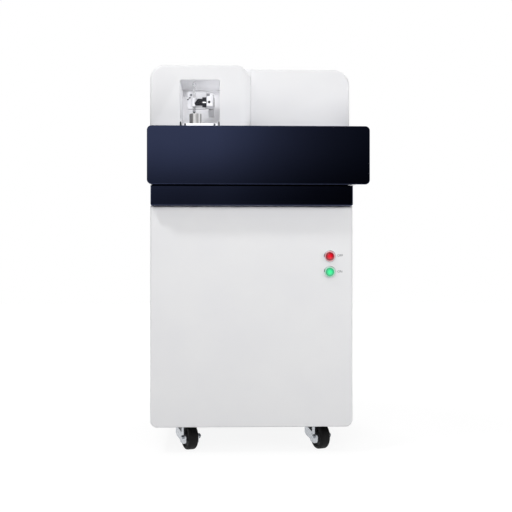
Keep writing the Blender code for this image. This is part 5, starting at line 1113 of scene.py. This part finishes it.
def make_world():
    """A white room. Its walls light the object evenly.

    Camera and transmitted rays see plain white. Mirror-like surfaces see white at the back, and
    before the object what stands in a studio: a card straight ahead that fades to the right and
    downwards, a dark doorway on the left, and a paler wall on the right.
    """
    world = bpy.data.worlds.new("studio")
    bpy.context.scene.world = world
    world.use_nodes = True
    tree = world.node_tree
    background = tree.nodes["Background"]
    background.inputs["Color"].default_value = (1, 1, 1, 1)
    rays, seen = plain_rays(tree)
    toward = add_node(tree, "ShaderNodeTexCoord").outputs["Generated"]
    split = add_node(tree, "ShaderNodeSeparateXYZ", {"Vector": toward}).outputs
    ahead = math_node(tree, "MULTIPLY", split["Y"], -1.0)
    bearing = math_node(tree, "ARCTAN2", split["X"], ahead)
    fade_right = math_node(tree, "EXPONENT", math_node(tree, "DIVIDE", bearing, -0.06))
    fade_down = between(tree, split["Z"], 0.058, 0.114, 0.20, 1.0)
    card = math_node(tree, "MULTIPLY", math_node(tree, "MINIMUM", fade_right, 1.0), fade_down)
    doorway = between(tree, bearing, math.radians(-40), math.radians(-30))
    card = math_node(tree, "MULTIPLY", card, doorway)
    wall = between(tree, bearing, math.radians(28), math.radians(55), 0.0, 0.85)
    darkest = 0.015
    studio = math_node(tree, "MAXIMUM", math_node(tree, "MAXIMUM", card, wall), darkest)
    ceiling = between(tree, split["Z"], 0.62, 0.85)
    studio = mixed(tree, ceiling, studio, 1.0)
    front = between(tree, ahead, -0.12, 0.12)
    glossy = mixed(tree, front, 1.0, studio)
    walls = between(tree, split["Z"], -0.2, 0.9, 0.315, 0.342)
    level = mixed(tree, rays["Is Glossy Ray"], walls, glossy)
    tree.links.new(mixed(tree, seen, level, 1.0), background.inputs["Strength"])


def make_floor():
    """A floor that looks white and keeps a faint shadow, but gives the object little light."""
    size = 9.0
    mesh = bpy.data.meshes.new("floor")
    corners = [(-size, -size, 0), (size, -size, 0), (size, size, 0), (-size, size, 0)]
    mesh.from_pydata(corners, [], [(0, 1, 2, 3)])
    floor = bpy.data.objects.new("floor", mesh)
    bpy.context.scene.collection.objects.link(floor)
    white = Surface("studio_floor", Roughness=0.9, Specular_IOR_Level=0.0, Emission_Color=(1, 1, 1, 1))
    tree = white.tree
    rays, seen = plain_rays(tree)
    seen = math_node(tree, "MAXIMUM", seen, rays["Is Glossy Ray"])
    shade = mixed(tree, seen, 0.35, 0.17)
    colour = add_node(tree, "ShaderNodeCombineColor", {"Red": shade, "Green": shade, "Blue": shade})
    white.link(colour.outputs["Color"], "Base Color")
    glow = between(tree, white.reach(white.place, (1, 1, 1)), 0.7, 2.2, 0.88, 1.0)
    white.link(math_node(tree, "MULTIPLY", seen, glow), "Emission Strength")
    mesh.materials.append(white.material)


def make_lamp(name, power, size, place, target, unseen=True, beam=180):
    """A rectangular lamp, its place and target in the cabinet's axes, its beam in degrees."""
    data = bpy.data.lights.new(name, "AREA")
    data.spread = math.radians(beam)
    data.shape = "RECTANGLE"
    data.size, data.size_y = size
    data.energy = power
    lamp = bpy.data.objects.new(name, data)
    bpy.context.scene.collection.objects.link(lamp)
    lamp.location = lift([place])[0]
    x, y, z = np.array(target, float) - np.array(place, float)
    lamp.rotation_euler = (math.atan2(math.hypot(x, y), -z), 0, math.atan2(-x, y))
    if unseen:
        lamp.visible_camera = False
        lamp.visible_glossy = False


def make_studio():
    """World, floor, lamps and camera. A target that stands over or under its lamp lies a little
    behind it, so that the lamp's long side has a direction."""
    make_world()
    make_floor()
    behind = 0.1 * MM
    low, high = box_of("alcove_liner")
    x, y, _ = middle_of("alcove_liner")
    make_lamp("key_lamp", 25, (0.22, 0.22), (-1.40, -1.20, 3.06), (0, 0, 0.7), unseen=False)
    make_lamp("side_lamp", 10.5, (0.8, 0.8), (1.70, -1.30, 0.95), (0.10, 0, 0.80))
    make_lamp("front_lamp", 23.5, (0.8, 0.8), (-0.30, -2.40, 1.10), (0, 0, 0.75))
    above = (x + 0.012, y + 0.02, high[2] - 4 * MM)
    make_lamp("alcove_lamp", 0.105, (0.08, 0.18), above, (above[0], above[1] + behind, 0))
    opening = (x + 0.005, low[1] + 1 * MM, 1.005)
    make_lamp("window_lamp", 0.039, (0.10, 0.13), opening, (opening[0], 1, opening[2]))
    make_lamp("top_lamp", 11, (0.8, 0.8), (0.25, 1.10, 3.10), (0, 0.45, 1.10))
    make_lamp("back_lamp", 24, (0.8, 0.8), (-0.60, 3.10, 1.50), (0, 0.70, 0.60))
    make_lamp("left_rim_lamp", 0.05, (0.3, 0.5), (-1.50, -0.05, 1.06), (0, 0.10, 1.06), beam=24)
    make_lamp("right_rim_lamp", 0.09, (0.3, 0.5), (1.50, -0.05, 1.06), (0, 0.07, 1.06), beam=24)
    on_top = 0.9325
    make_lamp("ledge_lamp", 0.13, (0.58, 0.09), (0, 0.002, on_top), (0, 0.002 + behind, 2))
    make_lamp("cover_lamp", 0.024, (0.27, 0.05), (0.148, 0.082, on_top), (0.148, 0.082 + behind, 2))
    data = bpy.data.cameras.new("camera")
    data.sensor_width = SENSOR
    data.lens = SENSOR * FOCAL_PIXELS / PICTURE_PIXELS
    camera = bpy.data.objects.new("camera", data)
    camera.location = lift([CAMERA_PLACE])[0]
    camera.rotation_euler = [math.radians(angle) for angle in CAMERA_TURN]
    bpy.context.scene.collection.objects.link(camera)
    bpy.context.scene.camera = camera
    bpy.context.scene.view_settings.view_transform = "Standard"


make_pieces()
dress_nodes()
make_studio()
